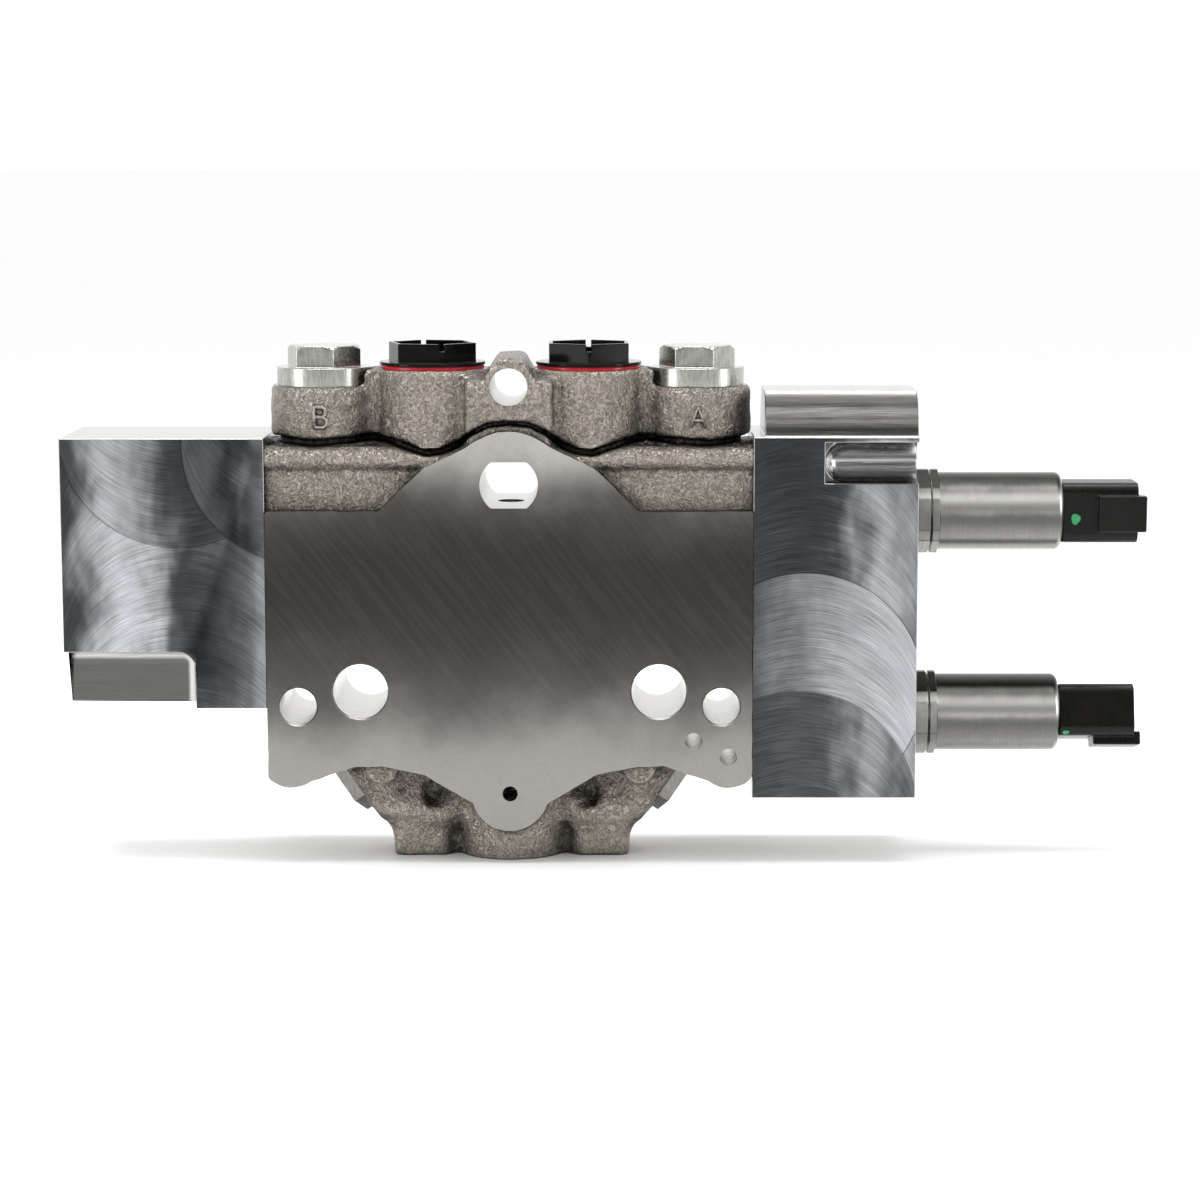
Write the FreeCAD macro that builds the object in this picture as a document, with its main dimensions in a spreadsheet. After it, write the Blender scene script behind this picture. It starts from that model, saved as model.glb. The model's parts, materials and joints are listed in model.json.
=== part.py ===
import FreeCAD, Part
import os
import re

import Sketcher

# One section of a load-sensing directional valve block, worked by two electric pilot valves.
# Frame: +X along the main spool towards the pilot valves, +Y from the front stacking face into
# the section, +Z up towards the work ports.  The origin lies on the front stacking face, on the
# housing's centre line, at the height of the main spool's axis.

# Every driving size, in millimetres (degrees where the name ends in _turn or _tilt).
SIZES = {
    # cutting solids run this far past the face that they open
    "overrun": 0.5,
    # housing, ground faces and outline
    "depth": 44,
    "mid_depth": 22,
    "half_width": 73,
    "cast_half_width": 71.5,
    "cast_recess": 2.75,
    "face_shoulder": 18.4,
    "face_notch": 39,
    "face_slope_side": 25.5,
    "face_slope_top": 31.3,
    "face_peak_side": 12.2,
    "face_peak_top": 37.77,
    "face_peak_radius": 18.7,
    "corner_outer": -62.31,
    "corner_inner_side": 60,
    "corner_inner": -63.43,
    "corner_radius": 9.5,
    "arch_outer": 46.5,
    "arch_inner": 38.5,
    "arch_top": -58.9,
    "arch_foot_side": 25.8,
    "arch_foot": -61.6,
    "lobe_side": 11.1,
    "lobe_edge": -70.31,
    "lobe_radius": 11.5,
    # housing, cast top
    "panel_top": 41,
    "ridge_centre": 34.4,
    "ridge_inset": 4.4,
    "ridge_radius": 3.4,
    "web_inset": 9,
    "web_top": 53.5,
    "port_pitch": 23.7,
    "port_boss_radius": 18,
    "port_boss_base": 36,
    "port_boss_top": 59.6,
    "cavity_pitch": 56.5,
    "cavity_boss_radius": 16.3,
    "cavity_boss_top": 54.8,
    "spotface_radius": 15.2,
    "cast_lap": 2,
    "shoulder_inset": 11,
    "lug_half_base": 14,
    "lug_shoulder": 56,
    "lug_half_neck": 6.5,
    "lug_neck": 60,
    "lug_half_top": 3.95,
    "lug_top": 63.9,
    # housing, cast foot
    "foot_base": -88.8,
    "foot_half_width": 36.5,
    "foot_waist_side": 37.7,
    "foot_waist": -80.6,
    "foot_hip_side": 41.5,
    "foot_hip": -75.2,
    "foot_inset": 15,
    "foot_boss_radius": 17,
    "foot_boss_top": -50,
    "flank_half_width": 44,
    "flank_inset": 8.5,
    "flank_base": -68,
    "flank_top": -50,
    "mark_side": 39,
    "mark_height": -60.5,
    "mark_radius": 4.5,
    "mark_inset": 4,
    # through holes in the stacking faces
    "tie_radius": 5.6,
    "tie_top": 55.4,
    "tie_side": 63.7,
    "tie_low": -40.6,
    "tie_relief_radius": 5.85,
    "relief_depth": 0.6,
    "tank_side": 44.9,
    "tank_height": -36,
    "tank_radius": 8.25,
    "tank_rim_radius": 8.55,
    "pump_height": 26.3,
    "pump_radius": 8.7,
    "pump_half_height": 6.9,
    "sensing_height": -67.3,
    "sensing_radius": 2.3,
    "pilot_feed_side": 55.4,
    "pilot_feed_height": -51.3,
    "pilot_drain_side": 65.9,
    "pilot_drain_height": -56,
    "pilot_radius": 2.6,
    # bores and cores inside the housing
    "spool_radius": 8,
    "running_gap": 0.03,
    "core_radius": 12,
    "core_width": 9,
    "bridge_core": 15,
    "bridge_width": 5,
    "work_core": 29,
    "tank_core": 50,
    "passage_radius": 4,
    "passage_start": 10,
    "passage_lap": 2,
    "work_passage": 28,
    "cavity_passage": 52,
    "drain_passage": 48,
    "port_bore_radius": 10.45,
    "port_bore_floor": 24,
    "cavity_bore_radius": 9.5,
    "cavity_bore_floor": 24,
    "cross_height": 38,
    "drilling_radius": 1.8,
    "pilot_line_depth": 12.5,
    "pilot_line_height": -24,
    "left_line_end": 81,
    "riser_side": 79,
    "riser_depth": 14.5,
    "feed_riser_side": 94,
    # compensator in the foot
    "piston_radius": 7,
    "piston_top": -18,
    "piston_foot": -52,
    "piston_bore_top": -17.8,
    "piston_cup_radius": 5.6,
    "piston_cup_top": -38.5,
    "piston_waist": 5,
    "waist_base": -32,
    "waist_length": 8,
    "plug_seat": -80,
    "foot_plug_radius": 10.9,
    "foot_plug_base": -88.2,
    "foot_plug_key": 12,
    "foot_plug_key_depth": 4.5,
    "foot_groove": -81.5,
    "foot_groove_width": 2,
    "foot_spring_floor": -79,
    "foot_spring_radius": 4,
    "foot_spring_wire": 1.5,
    # shuttle at the rear stacking face
    "ball_radius": 2.5,
    "ball_depth": 36.5,
    "shuttle_floor": 33,
    "seat_floor": 40,
    "seat_end": 43.9,
    "seat_radius": 3.95,
    "seat_bore": 1.6,
    # main spool and its centring springs
    "spool_half_length": 60,
    "spool_neck": 4.8,
    "meter_start": 9.5,
    "meter_end": 24.5,
    "relief_start": 34,
    "relief_end": 44,
    "seat_stem": 2.95,
    "stem_length": 8,
    "stem_hole": 9,
    "vent_radius": 0.8,
    "seat_plate": 7.4,
    "seat_plate_length": 2,
    "seat_spigot": 4.6,
    "seat_spigot_length": 3,
    "chamber_end": 88,
    "chamber_radius": 8.5,
    "spring_radius": 6.4,
    "spring_wire": 1.8,
    # end covers
    "cover_inset": 0.5,
    "left_end": 134,
    "left_top": 40.2,
    "left_base": -41.3,
    "relief_end_side": 94.3,
    "relief_top": -24.2,
    "relief_back": 14.3,
    "relief_round": 2.5,
    "right_end": 122.4,
    "right_top": 40.6,
    "right_base": -68.7,
    "crown_start": 76.6,
    "crown_top": 53.9,
    "crown_radius": 19,
    "crown_axis": 38,
    "crown_inset": 3,
    "slot_start": 94.4,
    "slot_height": 32.9,
    "slot_radius": 6.1,
    "slot_axis_depth": 4,
    # cover screws
    "screw_radius": 3,
    "screw_head_radius": 5,
    "screw_head_length": 6,
    "screw_clearance": 3.3,
    "screw_key": 5,
    "screw_key_depth": 3,
    "screw_tip": 60,
    "screw_hole_end": 59,
    "counterbore_radius": 5.5,
    "counterbore_depth": 7,
    "left_screw_high": 29,
    "left_screw_low": -30,
    "right_screw_high": 33,
    "right_screw_low": -16,
    "screw_inset": 8,
    # elastomer rings
    "ring_section": 0.9,
    "cover_ring": 11.5,
    "pump_ring": 11.6,
    "tank_ring": 10.4,
    "sensing_ring": 6.2,
    "pilot_ring": 4.4,
    # plastic shipping plugs in the work ports
    "gasket_radius": 15.7,
    "gasket_top": 61,
    "flange_radius": 16,
    "flange_top": 62,
    "cap_flats": 24,
    "cap_bore_flats": 21.6,
    "cap_top": 67.7,
    "cap_shank_radius": 10.35,
    "cap_shank_bore": 8.4,
    "cap_shank_base": 47,
    "cap_shank_floor": 48.5,
    "cap_slot_width": 1.6,
    "cap_slot_depth": 2.2,
    "left_cap_turn": 45.7,
    "right_cap_turn": 31,
    # hexagon plugs in the secondary valve cavities
    "collar_radius": 14.25,
    "collar_top": 60.5,
    "hex_plug_flats": 20,
    "hex_plug_top": 66.9,
    "hex_plug_cone": 17.7,
    "hex_plug_crown": 10.2,
    "hex_plug_shank": 9.4,
    "hex_plug_base": 37,
    "plug_ring_centre": 8.55,
    "plug_ring_height": 53,
    "plug_groove_radius": 7.7,
    "plug_groove_width": 2.2,
    "left_hex_turn": 48,
    "right_hex_turn": 54,
    # angled plugs of the load-sensing lines
    "angled_tilt": 34,
    "angled_face_side": 47.7,
    "angled_face_height": -65.5,
    "angled_boss_radius": 12,
    "angled_boss_length": 17,
    "angled_flats": 19,
    "angled_head": 4,
    "angled_clearance": 12,
    "angled_shank": 6.9,
    "angled_shank_length": 14,
    "angled_bore": 7,
    "angled_bore_length": 18,
    "angled_ring_centre": 6.1,
    "angled_groove": 5.2,
    "angled_groove_width": 2.2,
    "angled_groove_offset": 3,
    # pilot valve cartridges
    "upper_axis": 16.3,
    "lower_axis": -45.9,
    "nose_start": 88.5,
    "nose_radius": 6.25,
    "nose_bore": 6.35,
    "nose_end": 100,
    "body_radius": 8,
    "fit_gap": 0.05,
    "hex_flats": 24,
    "hex_corner_radius": 12.8,
    "hex_length": 7.4,
    "hex_groove": 4.6,
    "hex_groove_radius": 11.6,
    "hex_groove_width": 0.5,
    "pilot_bore_start": 90,
    "pilot_spool_radius": 3,
    "pilot_spool_start": 97,
    "pilot_spool_end": 124,
    "pilot_stem_radius": 1.5,
    "pilot_neck_radius": 2,
    "pilot_neck_start": 104,
    "pilot_neck_end": 112,
    "pilot_spring_radius": 2,
    "pilot_spring_wire": 0.7,
    "body_ring_centre": 7.15,
    "body_ring_side": 118,
    "nose_ring_centre": 5.4,
    "nose_ring_side": 97,
    "cartridge_ring_section": 0.8,
    "port_hole_radius": 1.2,
    "first_port_side": 103,
    "second_port_side": 111,
    "tube_radius": 6,
    "tube_bore": 4.05,
    "tube_start": 127,
    "tube_end": 164,
    "tube_bore_end": 161,
    "armature_radius": 4,
    "armature_start": 134,
    "armature_end": 154,
    "pole_start": 127.2,
    "pole_end": 131.4,
    "pole_bore": 1.6,
    "coil_start": 131.6,
    "coil_end": 163,
    "coil_radius": 10,
    "bobbin_flange": 1.2,
    "bobbin_radius": 7,
    "winding_radius": 9.8,
    "can_radius": 11.75,
    "can_wall": 1.3,
    "can_end": 167.3,
    "can_round": 2,
    "can_end_wall": 1.8,
    # connectors
    "connector_end": 190.2,
    "connector_wide": 18.3,
    "connector_high": 16,
    "connector_round": 3,
    "connector_neck": 4.9,
    "connector_disc": 10.2,
    "disc_start": 163.2,
    "disc_length": 1.5,
    "disc_relief_end": 164.1,
    "socket_wide": 13.6,
    "socket_high": 11,
    "socket_round": 2,
    "socket_floor": 173,
    "latch_start": 177.9,
    "latch_end": 192.4,
    "latch_wide": 10.9,
    "latch_rise": 2.6,
    "latch_root": 1.5,
    "pin_radius": 1.1,
    "pin_pitch": 5.6,
    "pin_start": 168.5,
    "pin_end": 184,
    "pin_tip": 1,
    "lower_connector_turn": 75,
}

doc = FreeCAD.newDocument("directional_valve")
sheet = doc.addObject("Spreadsheet::Sheet", "dims")
for row, (alias, size) in enumerate(SIZES.items(), start=1):
    sheet.set(f"A{row}", alias.replace("_", " "))
    sheet.set(f"B{row}", str(size))
    sheet.setAlias(f"B{row}", alias)
doc.recompute()

NODES = {}
X_AXIS = FreeCAD.Rotation(FreeCAD.Vector(0, 1, 0), 90)
Y_AXIS = FreeCAD.Rotation(FreeCAD.Vector(1, 0, 0), -90)
Z_AXIS = FreeCAD.Rotation()
NEG_X_AXIS = FreeCAD.Rotation(FreeCAD.Vector(0, 1, 0), -90)


def on_sheet(text):
    """A size written with the sheet's own words, as an expression that FreeCAD can bind."""

    def word(match):
        name = match.group()
        return f"dims.{name}" if name in SIZES else name

    return re.sub(r"[a-z_]+", word, str(text))


def measured(text):
    """The present value of such a size."""
    found = sheet.evalExpression(on_sheet(text))
    return float(getattr(found, "Value", found))


def put(item, place, turn=Z_AXIS):
    """Set an object's direction, and bind its position to the sheet."""
    item.Placement = FreeCAD.Placement(FreeCAD.Vector(), turn)
    for word, size in zip("xyz", place):
        item.setExpression(f"Placement.Base.{word}", on_sheet(size))
    return item


def cylinder(radius, length, place, turn=Z_AXIS, name="round"):
    item = doc.addObject("Part::Cylinder", name)
    item.setExpression("Radius", on_sheet(radius))
    item.setExpression("Height", on_sheet(length))
    return put(item, place, turn)


def cone(radius, end_radius, length, place, turn=Z_AXIS, name="cone"):
    item = doc.addObject("Part::Cone", name)
    item.setExpression("Radius1", on_sheet(radius))
    item.setExpression("Radius2", on_sheet(end_radius))
    item.setExpression("Height", on_sheet(length))
    return put(item, place, turn)


def box(low, high, name="block"):
    """A block between two corners, each given as three sizes."""
    item = doc.addObject("Part::Box", name)
    for side, start, end in zip(("Length", "Width", "Height"), low, high):
        item.setExpression(side, on_sheet(f"({end}) - ({start})"))
    return put(item, low)


def hexagon(flats, length, place, turn=Z_AXIS, spin=0, name="hexagon"):
    """A hexagonal prism, turned by spin degrees about its own axis."""
    item = doc.addObject("Part::Prism", name)
    item.Polygon = 6
    item.setExpression("Circumradius", on_sheet(f"({flats}) / sqrt(3)"))
    item.setExpression("Height", on_sheet(length))
    return put(item, place, turn * FreeCAD.Rotation(FreeCAD.Vector(0, 0, 1), spin))


def ring(centre_radius, section, place, turn=Z_AXIS, name="ring"):
    item = doc.addObject("Part::Torus", name)
    item.setExpression("Radius1", on_sheet(centre_radius))
    item.setExpression("Radius2", on_sheet(section))
    return put(item, place, turn)


def ball(radius, place, name="ball"):
    item = doc.addObject("Part::Sphere", name)
    item.setExpression("Radius", on_sheet(radius))
    return put(item, place)


def joined(items, name="joined"):
    item = doc.addObject("Part::MultiFuse", name)
    item.Shapes = items
    return item


def common(items, name="common"):
    item = doc.addObject("Part::MultiCommon", name)
    item.Shapes = items
    return item


def cut(base, tools, name="cut"):
    item = doc.addObject("Part::Cut", name)
    item.Base = base
    item.Tool = tools[0] if len(tools) == 1 else joined(tools)
    return item


def group(items, name="group"):
    item = doc.addObject("Part::Compound", name)
    item.Links = items
    return item


def tube(radius, bore, length, place, turn=Z_AXIS, name="tube"):
    outer = cylinder(radius, length, place, turn)
    return cut(outer, [cylinder(bore, length, place, turn)], name)


def node(label, item):
    """Give a finished sub-part its name."""
    item.Label = label
    NODES[label] = item
    return item


def outline(sketch, steps):
    """Close a loop of straight runs, and of anticlockwise arcs where a step has a radius.

    Every corner is pinned to the sketch's origin by distances that the sheet drives.
    """
    corners = [FreeCAD.Vector(measured(step[0]), measured(step[1]), 0) for step in steps]
    for run, step in enumerate(steps):
        start = corners[run - 1]
        end = corners[run]
        if len(step) == 2:
            sketch.addGeometry(Part.LineSegment(start, end))
        else:
            radius = measured(step[2])
            chord = end - start
            rise = (radius**2 - chord.Length**2 / 4) ** 0.5
            inward = FreeCAD.Vector(-chord.y, chord.x, 0).normalize()
            centre = start + chord * 0.5 + inward * rise
            crown = centre - inward * radius
            sketch.addGeometry(Part.Arc(start, crown, end))
    for run, step in enumerate(steps):
        following = (run + 1) % len(steps)
        sketch.addConstraint(Sketcher.Constraint("Coincident", run, 2, following, 1))
        if len(step) == 3:
            index = sketch.addConstraint(Sketcher.Constraint("Radius", run, measured(step[2])))
            sketch.setExpression(f"Constraints[{index}]", on_sheet(step[2]))
        for kind, size, axis in (("DistanceX", step[0], -2), ("DistanceY", step[1], -1)):
            if measured(size) == 0:
                sketch.addConstraint(Sketcher.Constraint("PointOnObject", run, 2, axis))
                continue
            pin = Sketcher.Constraint(kind, -1, 1, run, 2, measured(size))
            index = sketch.addConstraint(pin)
            sketch.setExpression(f"Constraints[{index}]", on_sheet(size))


def slab(steps, inset, name):
    """A PartDesign body padded along Y, symmetrical about the section's mid-plane."""
    body = doc.addObject("PartDesign::Body", name)
    sketch = body.newObject("Sketcher::SketchObject", f"{name}_outline")
    plane = [item for item in body.Origin.OriginFeatures if item.Role == "XZ_Plane"][0]
    sketch.AttachmentSupport = (plane, [""])
    sketch.MapMode = "FlatFace"
    sketch.setExpression("AttachmentOffset.Base.z", on_sheet(f"-({inset})"))
    outline(sketch, steps)
    pad = body.newObject("PartDesign::Pad", f"{name}_pad")
    pad.Profile = sketch
    pad.Reversed = True
    pad.setExpression("Length", on_sheet(f"depth - 2 * ({inset})"))
    sketch.Visibility = False
    return body


def turned(profile, name):
    """A PartDesign body turned about the X axis from (x, radius) corners."""
    body = doc.addObject("PartDesign::Body", name)
    sketch = body.newObject("Sketcher::SketchObject", f"{name}_profile")
    plane = [item for item in body.Origin.OriginFeatures if item.Role == "XZ_Plane"][0]
    sketch.AttachmentSupport = (plane, [""])
    sketch.MapMode = "FlatFace"
    outline(sketch, profile)
    turning = body.newObject("PartDesign::Revolution", f"{name}_turning")
    turning.Profile = sketch
    turning.ReferenceAxis = (sketch, ["H_Axis"])
    turning.Angle = 360
    return body


def coil_spring(radius, wire, turns, start, length, place, turn, name):
    """A helical spring between two flat seats that are start and start + length along its axis."""
    mean = measured(radius)
    thick = measured(wire) / 2
    height = measured(length) - 2 * thick
    helix = Part.makeHelix(height / turns, height, mean)
    section = Part.Wire(Part.makeCircle(thick, FreeCAD.Vector(mean, 0, 0), FreeCAD.Vector(0, 1, 0)))
    item = doc.addObject("Part::Feature", name)
    item.Shape = Part.Wire(helix).makePipeShell([section], True, True)
    base = FreeCAD.Vector(*[measured(size) for size in place])
    base += turn.multVec(FreeCAD.Vector(0, 0, measured(start) + thick))
    item.Placement = FreeCAD.Placement(base, turn)
    return node(name, item)


# Housing ------------------------------------------------------------------------------------


def ground_slab():
    right = [
        ("half_width", "face_shoulder"),
        ("face_notch", "face_shoulder"),
        ("face_slope_side", "face_slope_top"),
        ("face_peak_side", "face_peak_top"),
    ]
    left = [(f"-{side}", height) for side, height in reversed(right)]
    left[0] = (*left[0], "face_peak_radius")
    low_left = [
        ("-half_width", "corner_outer"),
        ("-corner_inner_side", "corner_inner", "corner_radius"),
        ("-arch_outer", "arch_top"),
        ("-arch_inner", "arch_top"),
        ("-arch_foot_side", "arch_foot"),
        ("-lobe_side", "lobe_edge"),
    ]
    low_right = [
        ("lobe_side", "lobe_edge", "lobe_radius"),
        ("arch_foot_side", "arch_foot"),
        ("arch_inner", "arch_top"),
        ("arch_outer", "arch_top"),
        ("corner_inner_side", "corner_inner"),
        ("half_width", "corner_outer", "corner_radius"),
    ]
    return slab(right + left + low_left + low_right, "0", "ground_slab")


def centre_lug():
    right = [
        ("lug_half_base", "face_shoulder"),
        ("lug_half_base", "lug_shoulder"),
        ("lug_half_neck", "lug_neck"),
        ("lug_half_top", "lug_top"),
    ]
    left = [(f"-{side}", height) for side, height in reversed(right)]
    return slab(right + left, "cast_recess", "centre_lug")


def foot_slab():
    right = [
        ("foot_half_width", "foot_base"),
        ("foot_waist_side", "foot_waist"),
        ("foot_hip_side", "foot_hip"),
        ("flank_half_width", "flank_top"),
    ]
    left = [(f"-{side}", height) for side, height in reversed(right)]
    return slab(right + left, "foot_inset", "foot_slab")


def angled(sign, offset):
    """Place and direction on the axis of the left (-1) or right (1) angled plug."""
    tilt = measured("angled_tilt")
    turn = FreeCAD.Rotation(FreeCAD.Vector(0, 1, 0), sign * (90 + tilt))
    place = (
        f"{sign} * (angled_face_side + ({offset}) * cos(angled_tilt * 1deg))",
        "mid_depth",
        f"angled_face_height - ({offset}) * sin(angled_tilt * 1deg)",
    )
    return place, turn


def cast_top():
    solids = [
        box(
            ("-cast_half_width", "cast_recess", "face_shoulder - cast_lap"),
            ("cast_half_width", "depth - cast_recess", "panel_top"),
        ),
        box(
            ("-cavity_pitch", "web_inset", "panel_top - cast_lap"),
            ("cavity_pitch", "depth - web_inset", "web_top"),
        ),
    ]
    for inset in ("ridge_inset", "depth - ridge_inset"):
        place = ("-cast_half_width", inset, "ridge_centre")
        solids.append(cylinder("ridge_radius", "2 * cast_half_width", place, X_AXIS))
    for sign in (-1, 1):
        port = (f"{sign} * port_pitch", "mid_depth", "port_boss_base")
        solids.append(cylinder("port_boss_radius", "port_boss_top - port_boss_base", port))
        cavity = (f"{sign} * cavity_pitch", "mid_depth", "ridge_centre")
        solids.append(cylinder("cavity_boss_radius", "cavity_boss_top - ridge_centre", cavity))
        near = min(sign * measured("port_pitch"), sign * measured("cavity_pitch"))
        far = near + measured("cavity_pitch - port_pitch")
        block = box(
            (near, "shoulder_inset", "panel_top"), (far, "depth - shoulder_inset", "port_boss_top")
        )
        spot = (f"{sign} * cavity_pitch", "mid_depth", "cavity_boss_top")
        solids.append(cut(block, [cylinder("spotface_radius", "port_boss_top", spot)]))
    return solids


def cast_foot():
    solids = [
        foot_slab(),
        cylinder("foot_boss_radius", "foot_boss_top - foot_base", ("0", "mid_depth", "foot_base")),
        box(
            ("-flank_half_width", "flank_inset", "flank_base"),
            ("flank_half_width", "depth - flank_inset", "flank_top"),
        ),
    ]
    for sign in (-1, 1):
        place, turn = angled(sign, "-angled_boss_length")
        solids.append(cylinder("angled_boss_radius", "angled_boss_length", place, turn))
        mark = (f"{sign} * mark_side", "mark_inset", "mark_height")
        solids.append(cylinder("mark_radius", "depth - 2 * mark_inset", mark, Y_AXIS))
    return solids


def stacking_holes():
    """Holes that cross the section from face to face, with the rims that are broken."""
    through = "depth + 2 * overrun"
    holes = []
    for side, height in (("0", "tie_top"), ("-tie_side", "tie_low"), ("tie_side", "tie_low")):
        holes.append(cylinder("tie_radius", through, (side, "-overrun", height), Y_AXIS))
    for sign in (-1, 1):
        place = (f"{sign} * tank_side", "-overrun", "tank_height")
        holes.append(cylinder("tank_radius", through, place, Y_AXIS))
        rim = (f"{sign} * tank_side", "0", "tank_height")
        holes.append(cone("tank_rim_radius", "tank_radius", "relief_depth", rim, Y_AXIS))
        rim = (f"{sign} * tie_side", "0", "tie_low")
        holes.append(cone("tie_relief_radius", "tie_radius", "relief_depth", rim, Y_AXIS))
    slot = cylinder("pump_radius", through, ("0", "-overrun", "pump_height"), Y_AXIS)
    window = box(
        ("-pump_radius", "-overrun", "pump_height - pump_half_height"),
        ("pump_radius", "depth + overrun", "pump_height + pump_half_height"),
    )
    holes.append(common([slot, window]))
    for side, height in (
        ("pilot_feed_side", "pilot_feed_height"),
        ("pilot_drain_side", "pilot_drain_height"),
    ):
        holes.append(cylinder("pilot_radius", through, (side, "-overrun", height), Y_AXIS))
    return holes


def spool_gallery():
    """The spool bore, its annular cores, and the passages that join them to the ports."""
    bore = "spool_radius + running_gap"
    start = ("-half_width - overrun", "mid_depth", "0")
    along_bore = "2 * (half_width + overrun)"
    cuts = [cylinder(bore, along_bore, start, X_AXIS)]
    cores = [("0", "core_width")]
    for core, width in (
        ("bridge_core", "bridge_width"),
        ("work_core", "core_width"),
        ("tank_core", "core_width"),
    ):
        cores += [(core, width), (f"-{core}", width)]
    for core, width in cores:
        place = (f"{core} - {width} / 2", "mid_depth", "0")
        cuts.append(cylinder("core_radius", width, place, X_AXIS))
    supply = ("0", "mid_depth", "passage_start")
    cuts.append(cylinder("passage_radius", "pump_height - passage_start", supply))
    metered = ("0", "mid_depth", "piston_bore_top")
    cuts.append(cylinder("passage_radius", "-passage_start - piston_bore_top", metered))
    for sign in (-1, 1):
        port = (f"{sign} * port_pitch", "mid_depth", "port_bore_floor")
        cuts.append(cylinder("port_bore_radius", "port_boss_top - port_bore_floor + overrun", port))
        down = (f"{sign} * work_passage", "mid_depth", "passage_start")
        length = "port_bore_floor + passage_lap - passage_start"
        cuts.append(cylinder("passage_radius", length, down))
        cavity = (f"{sign} * cavity_pitch", "mid_depth", "cavity_bore_floor")
        length = "cavity_boss_top - cavity_bore_floor + overrun"
        cuts.append(cylinder("cavity_bore_radius", length, cavity))
        nose = (f"{sign} * cavity_passage", "mid_depth", "passage_start")
        length = "cavity_bore_floor + passage_lap - passage_start"
        cuts.append(cylinder("passage_radius", length, nose))
        place = ("port_pitch" if sign > 0 else "-cavity_pitch", "mid_depth", "cross_height")
        cuts.append(cylinder("passage_radius", "cavity_pitch - port_pitch", place, X_AXIS))
        drain = (f"{sign} * drain_passage", "mid_depth", "tank_height")
        cuts.append(cylinder("passage_radius", "-tank_height - passage_start", drain))
    line = ("-half_width - overrun", "pilot_line_depth", "pilot_line_height")
    cuts.append(cylinder("drilling_radius", along_bore, line, X_AXIS))
    for side, height in (
        ("pilot_feed_side", "pilot_feed_height"),
        ("pilot_drain_side", "pilot_drain_height"),
    ):
        place = (side, "mid_depth", height)
        cuts.append(cylinder("drilling_radius", f"half_width - {side} + overrun", place, X_AXIS))
    return cuts


def compensator_bores():
    bore = "piston_radius + running_gap"
    start = ("0", "mid_depth", "plug_seat - overrun")
    thread = ("0", "mid_depth", "foot_base - overrun")
    cuts = [
        cylinder(bore, "piston_bore_top - plug_seat + overrun", start),
        cylinder("foot_plug_radius + fit_gap", "plug_seat - foot_base + overrun", thread),
    ]
    for radius, floor, end in (
        ("sensing_radius", "-overrun", "mid_depth"),
        ("seat_bore", "mid_depth", "shuttle_floor + overrun"),
        ("ball_radius + fit_gap", "shuttle_floor", "seat_floor + overrun"),
        ("seat_radius + fit_gap", "seat_floor", "depth + overrun"),
    ):
        place = ("0", floor, "sensing_height")
        cuts.append(cylinder(radius, f"({end}) - ({floor})", place, Y_AXIS))
    return cuts


def angled_bores():
    cuts = []
    for sign in (-1, 1):
        place, turn = angled(sign, "-angled_bore_length")
        cuts.append(cylinder("angled_bore", "angled_bore_length + overrun", place, turn))
        clear, turn = angled(sign, "0")
        cuts.append(cylinder("angled_boss_radius", "angled_clearance", clear, turn))
    return cuts


STACK_RINGS = {
    "pump_port_seal": [("0", "pump_height", "pump_ring")],
    "tank_port_seals": [
        ("-tank_side", "tank_height", "tank_ring"),
        ("tank_side", "tank_height", "tank_ring"),
    ],
    "sensing_port_seal": [("0", "sensing_height", "sensing_ring")],
    "pilot_port_seals": [
        ("pilot_feed_side", "pilot_feed_height", "pilot_ring"),
        ("pilot_drain_side", "pilot_drain_height", "pilot_ring"),
    ],
}


def stack_grooves():
    grooves = []
    for rings in STACK_RINGS.values():
        for side, height, centre in rings:
            place = (side, "depth - 2 * ring_section", height)
            outer = f"{centre} + ring_section"
            inner = f"{centre} - ring_section"
            grooves.append(tube(outer, inner, "2 * ring_section + overrun", place, Y_AXIS))
    return grooves


def screw_holes():
    holes = []
    for side, depth, height in LEFT_SCREWS + RIGHT_SCREWS:
        start = "-half_width - overrun" if side < 0 else "screw_hole_end"
        place = (start, depth, height)
        length = "half_width - screw_hole_end + overrun"
        holes.append(cylinder("screw_radius + fit_gap", length, place, X_AXIS))
    return holes


LEFT_SCREWS = [
    (-1, "screw_inset", "left_screw_high"),
    (-1, "depth - screw_inset", "left_screw_high"),
    (-1, "mid_depth", "left_screw_low"),
]
RIGHT_SCREWS = [
    (1, "depth - screw_inset", "right_screw_high"),
    (1, "screw_inset", "right_screw_low"),
    (1, "depth - screw_inset", "right_screw_low"),
]


def housing():
    casting = joined([ground_slab(), centre_lug()] + cast_top() + cast_foot(), "casting")
    cuts = stacking_holes() + spool_gallery() + compensator_bores() + angled_bores()
    cuts += stack_grooves() + screw_holes()
    node("housing", cut(casting, cuts, "housing"))


# End covers ---------------------------------------------------------------------------------


def spring_chamber(sign):
    """Cuts that both covers share: the centring spring's chamber and the face seal's groove."""
    start = "half_width - overrun" if sign > 0 else "-chamber_end"
    face = "half_width - overrun" if sign > 0 else "-half_width - 2 * ring_section"
    chamber = (start, "mid_depth", "0")
    groove = (face, "mid_depth", "0")
    return [
        cylinder("chamber_radius", "chamber_end - half_width + overrun", chamber, X_AXIS),
        tube(
            "cover_ring + ring_section",
            "cover_ring - ring_section",
            "2 * ring_section + overrun",
            groove,
            X_AXIS,
        ),
    ]


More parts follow.
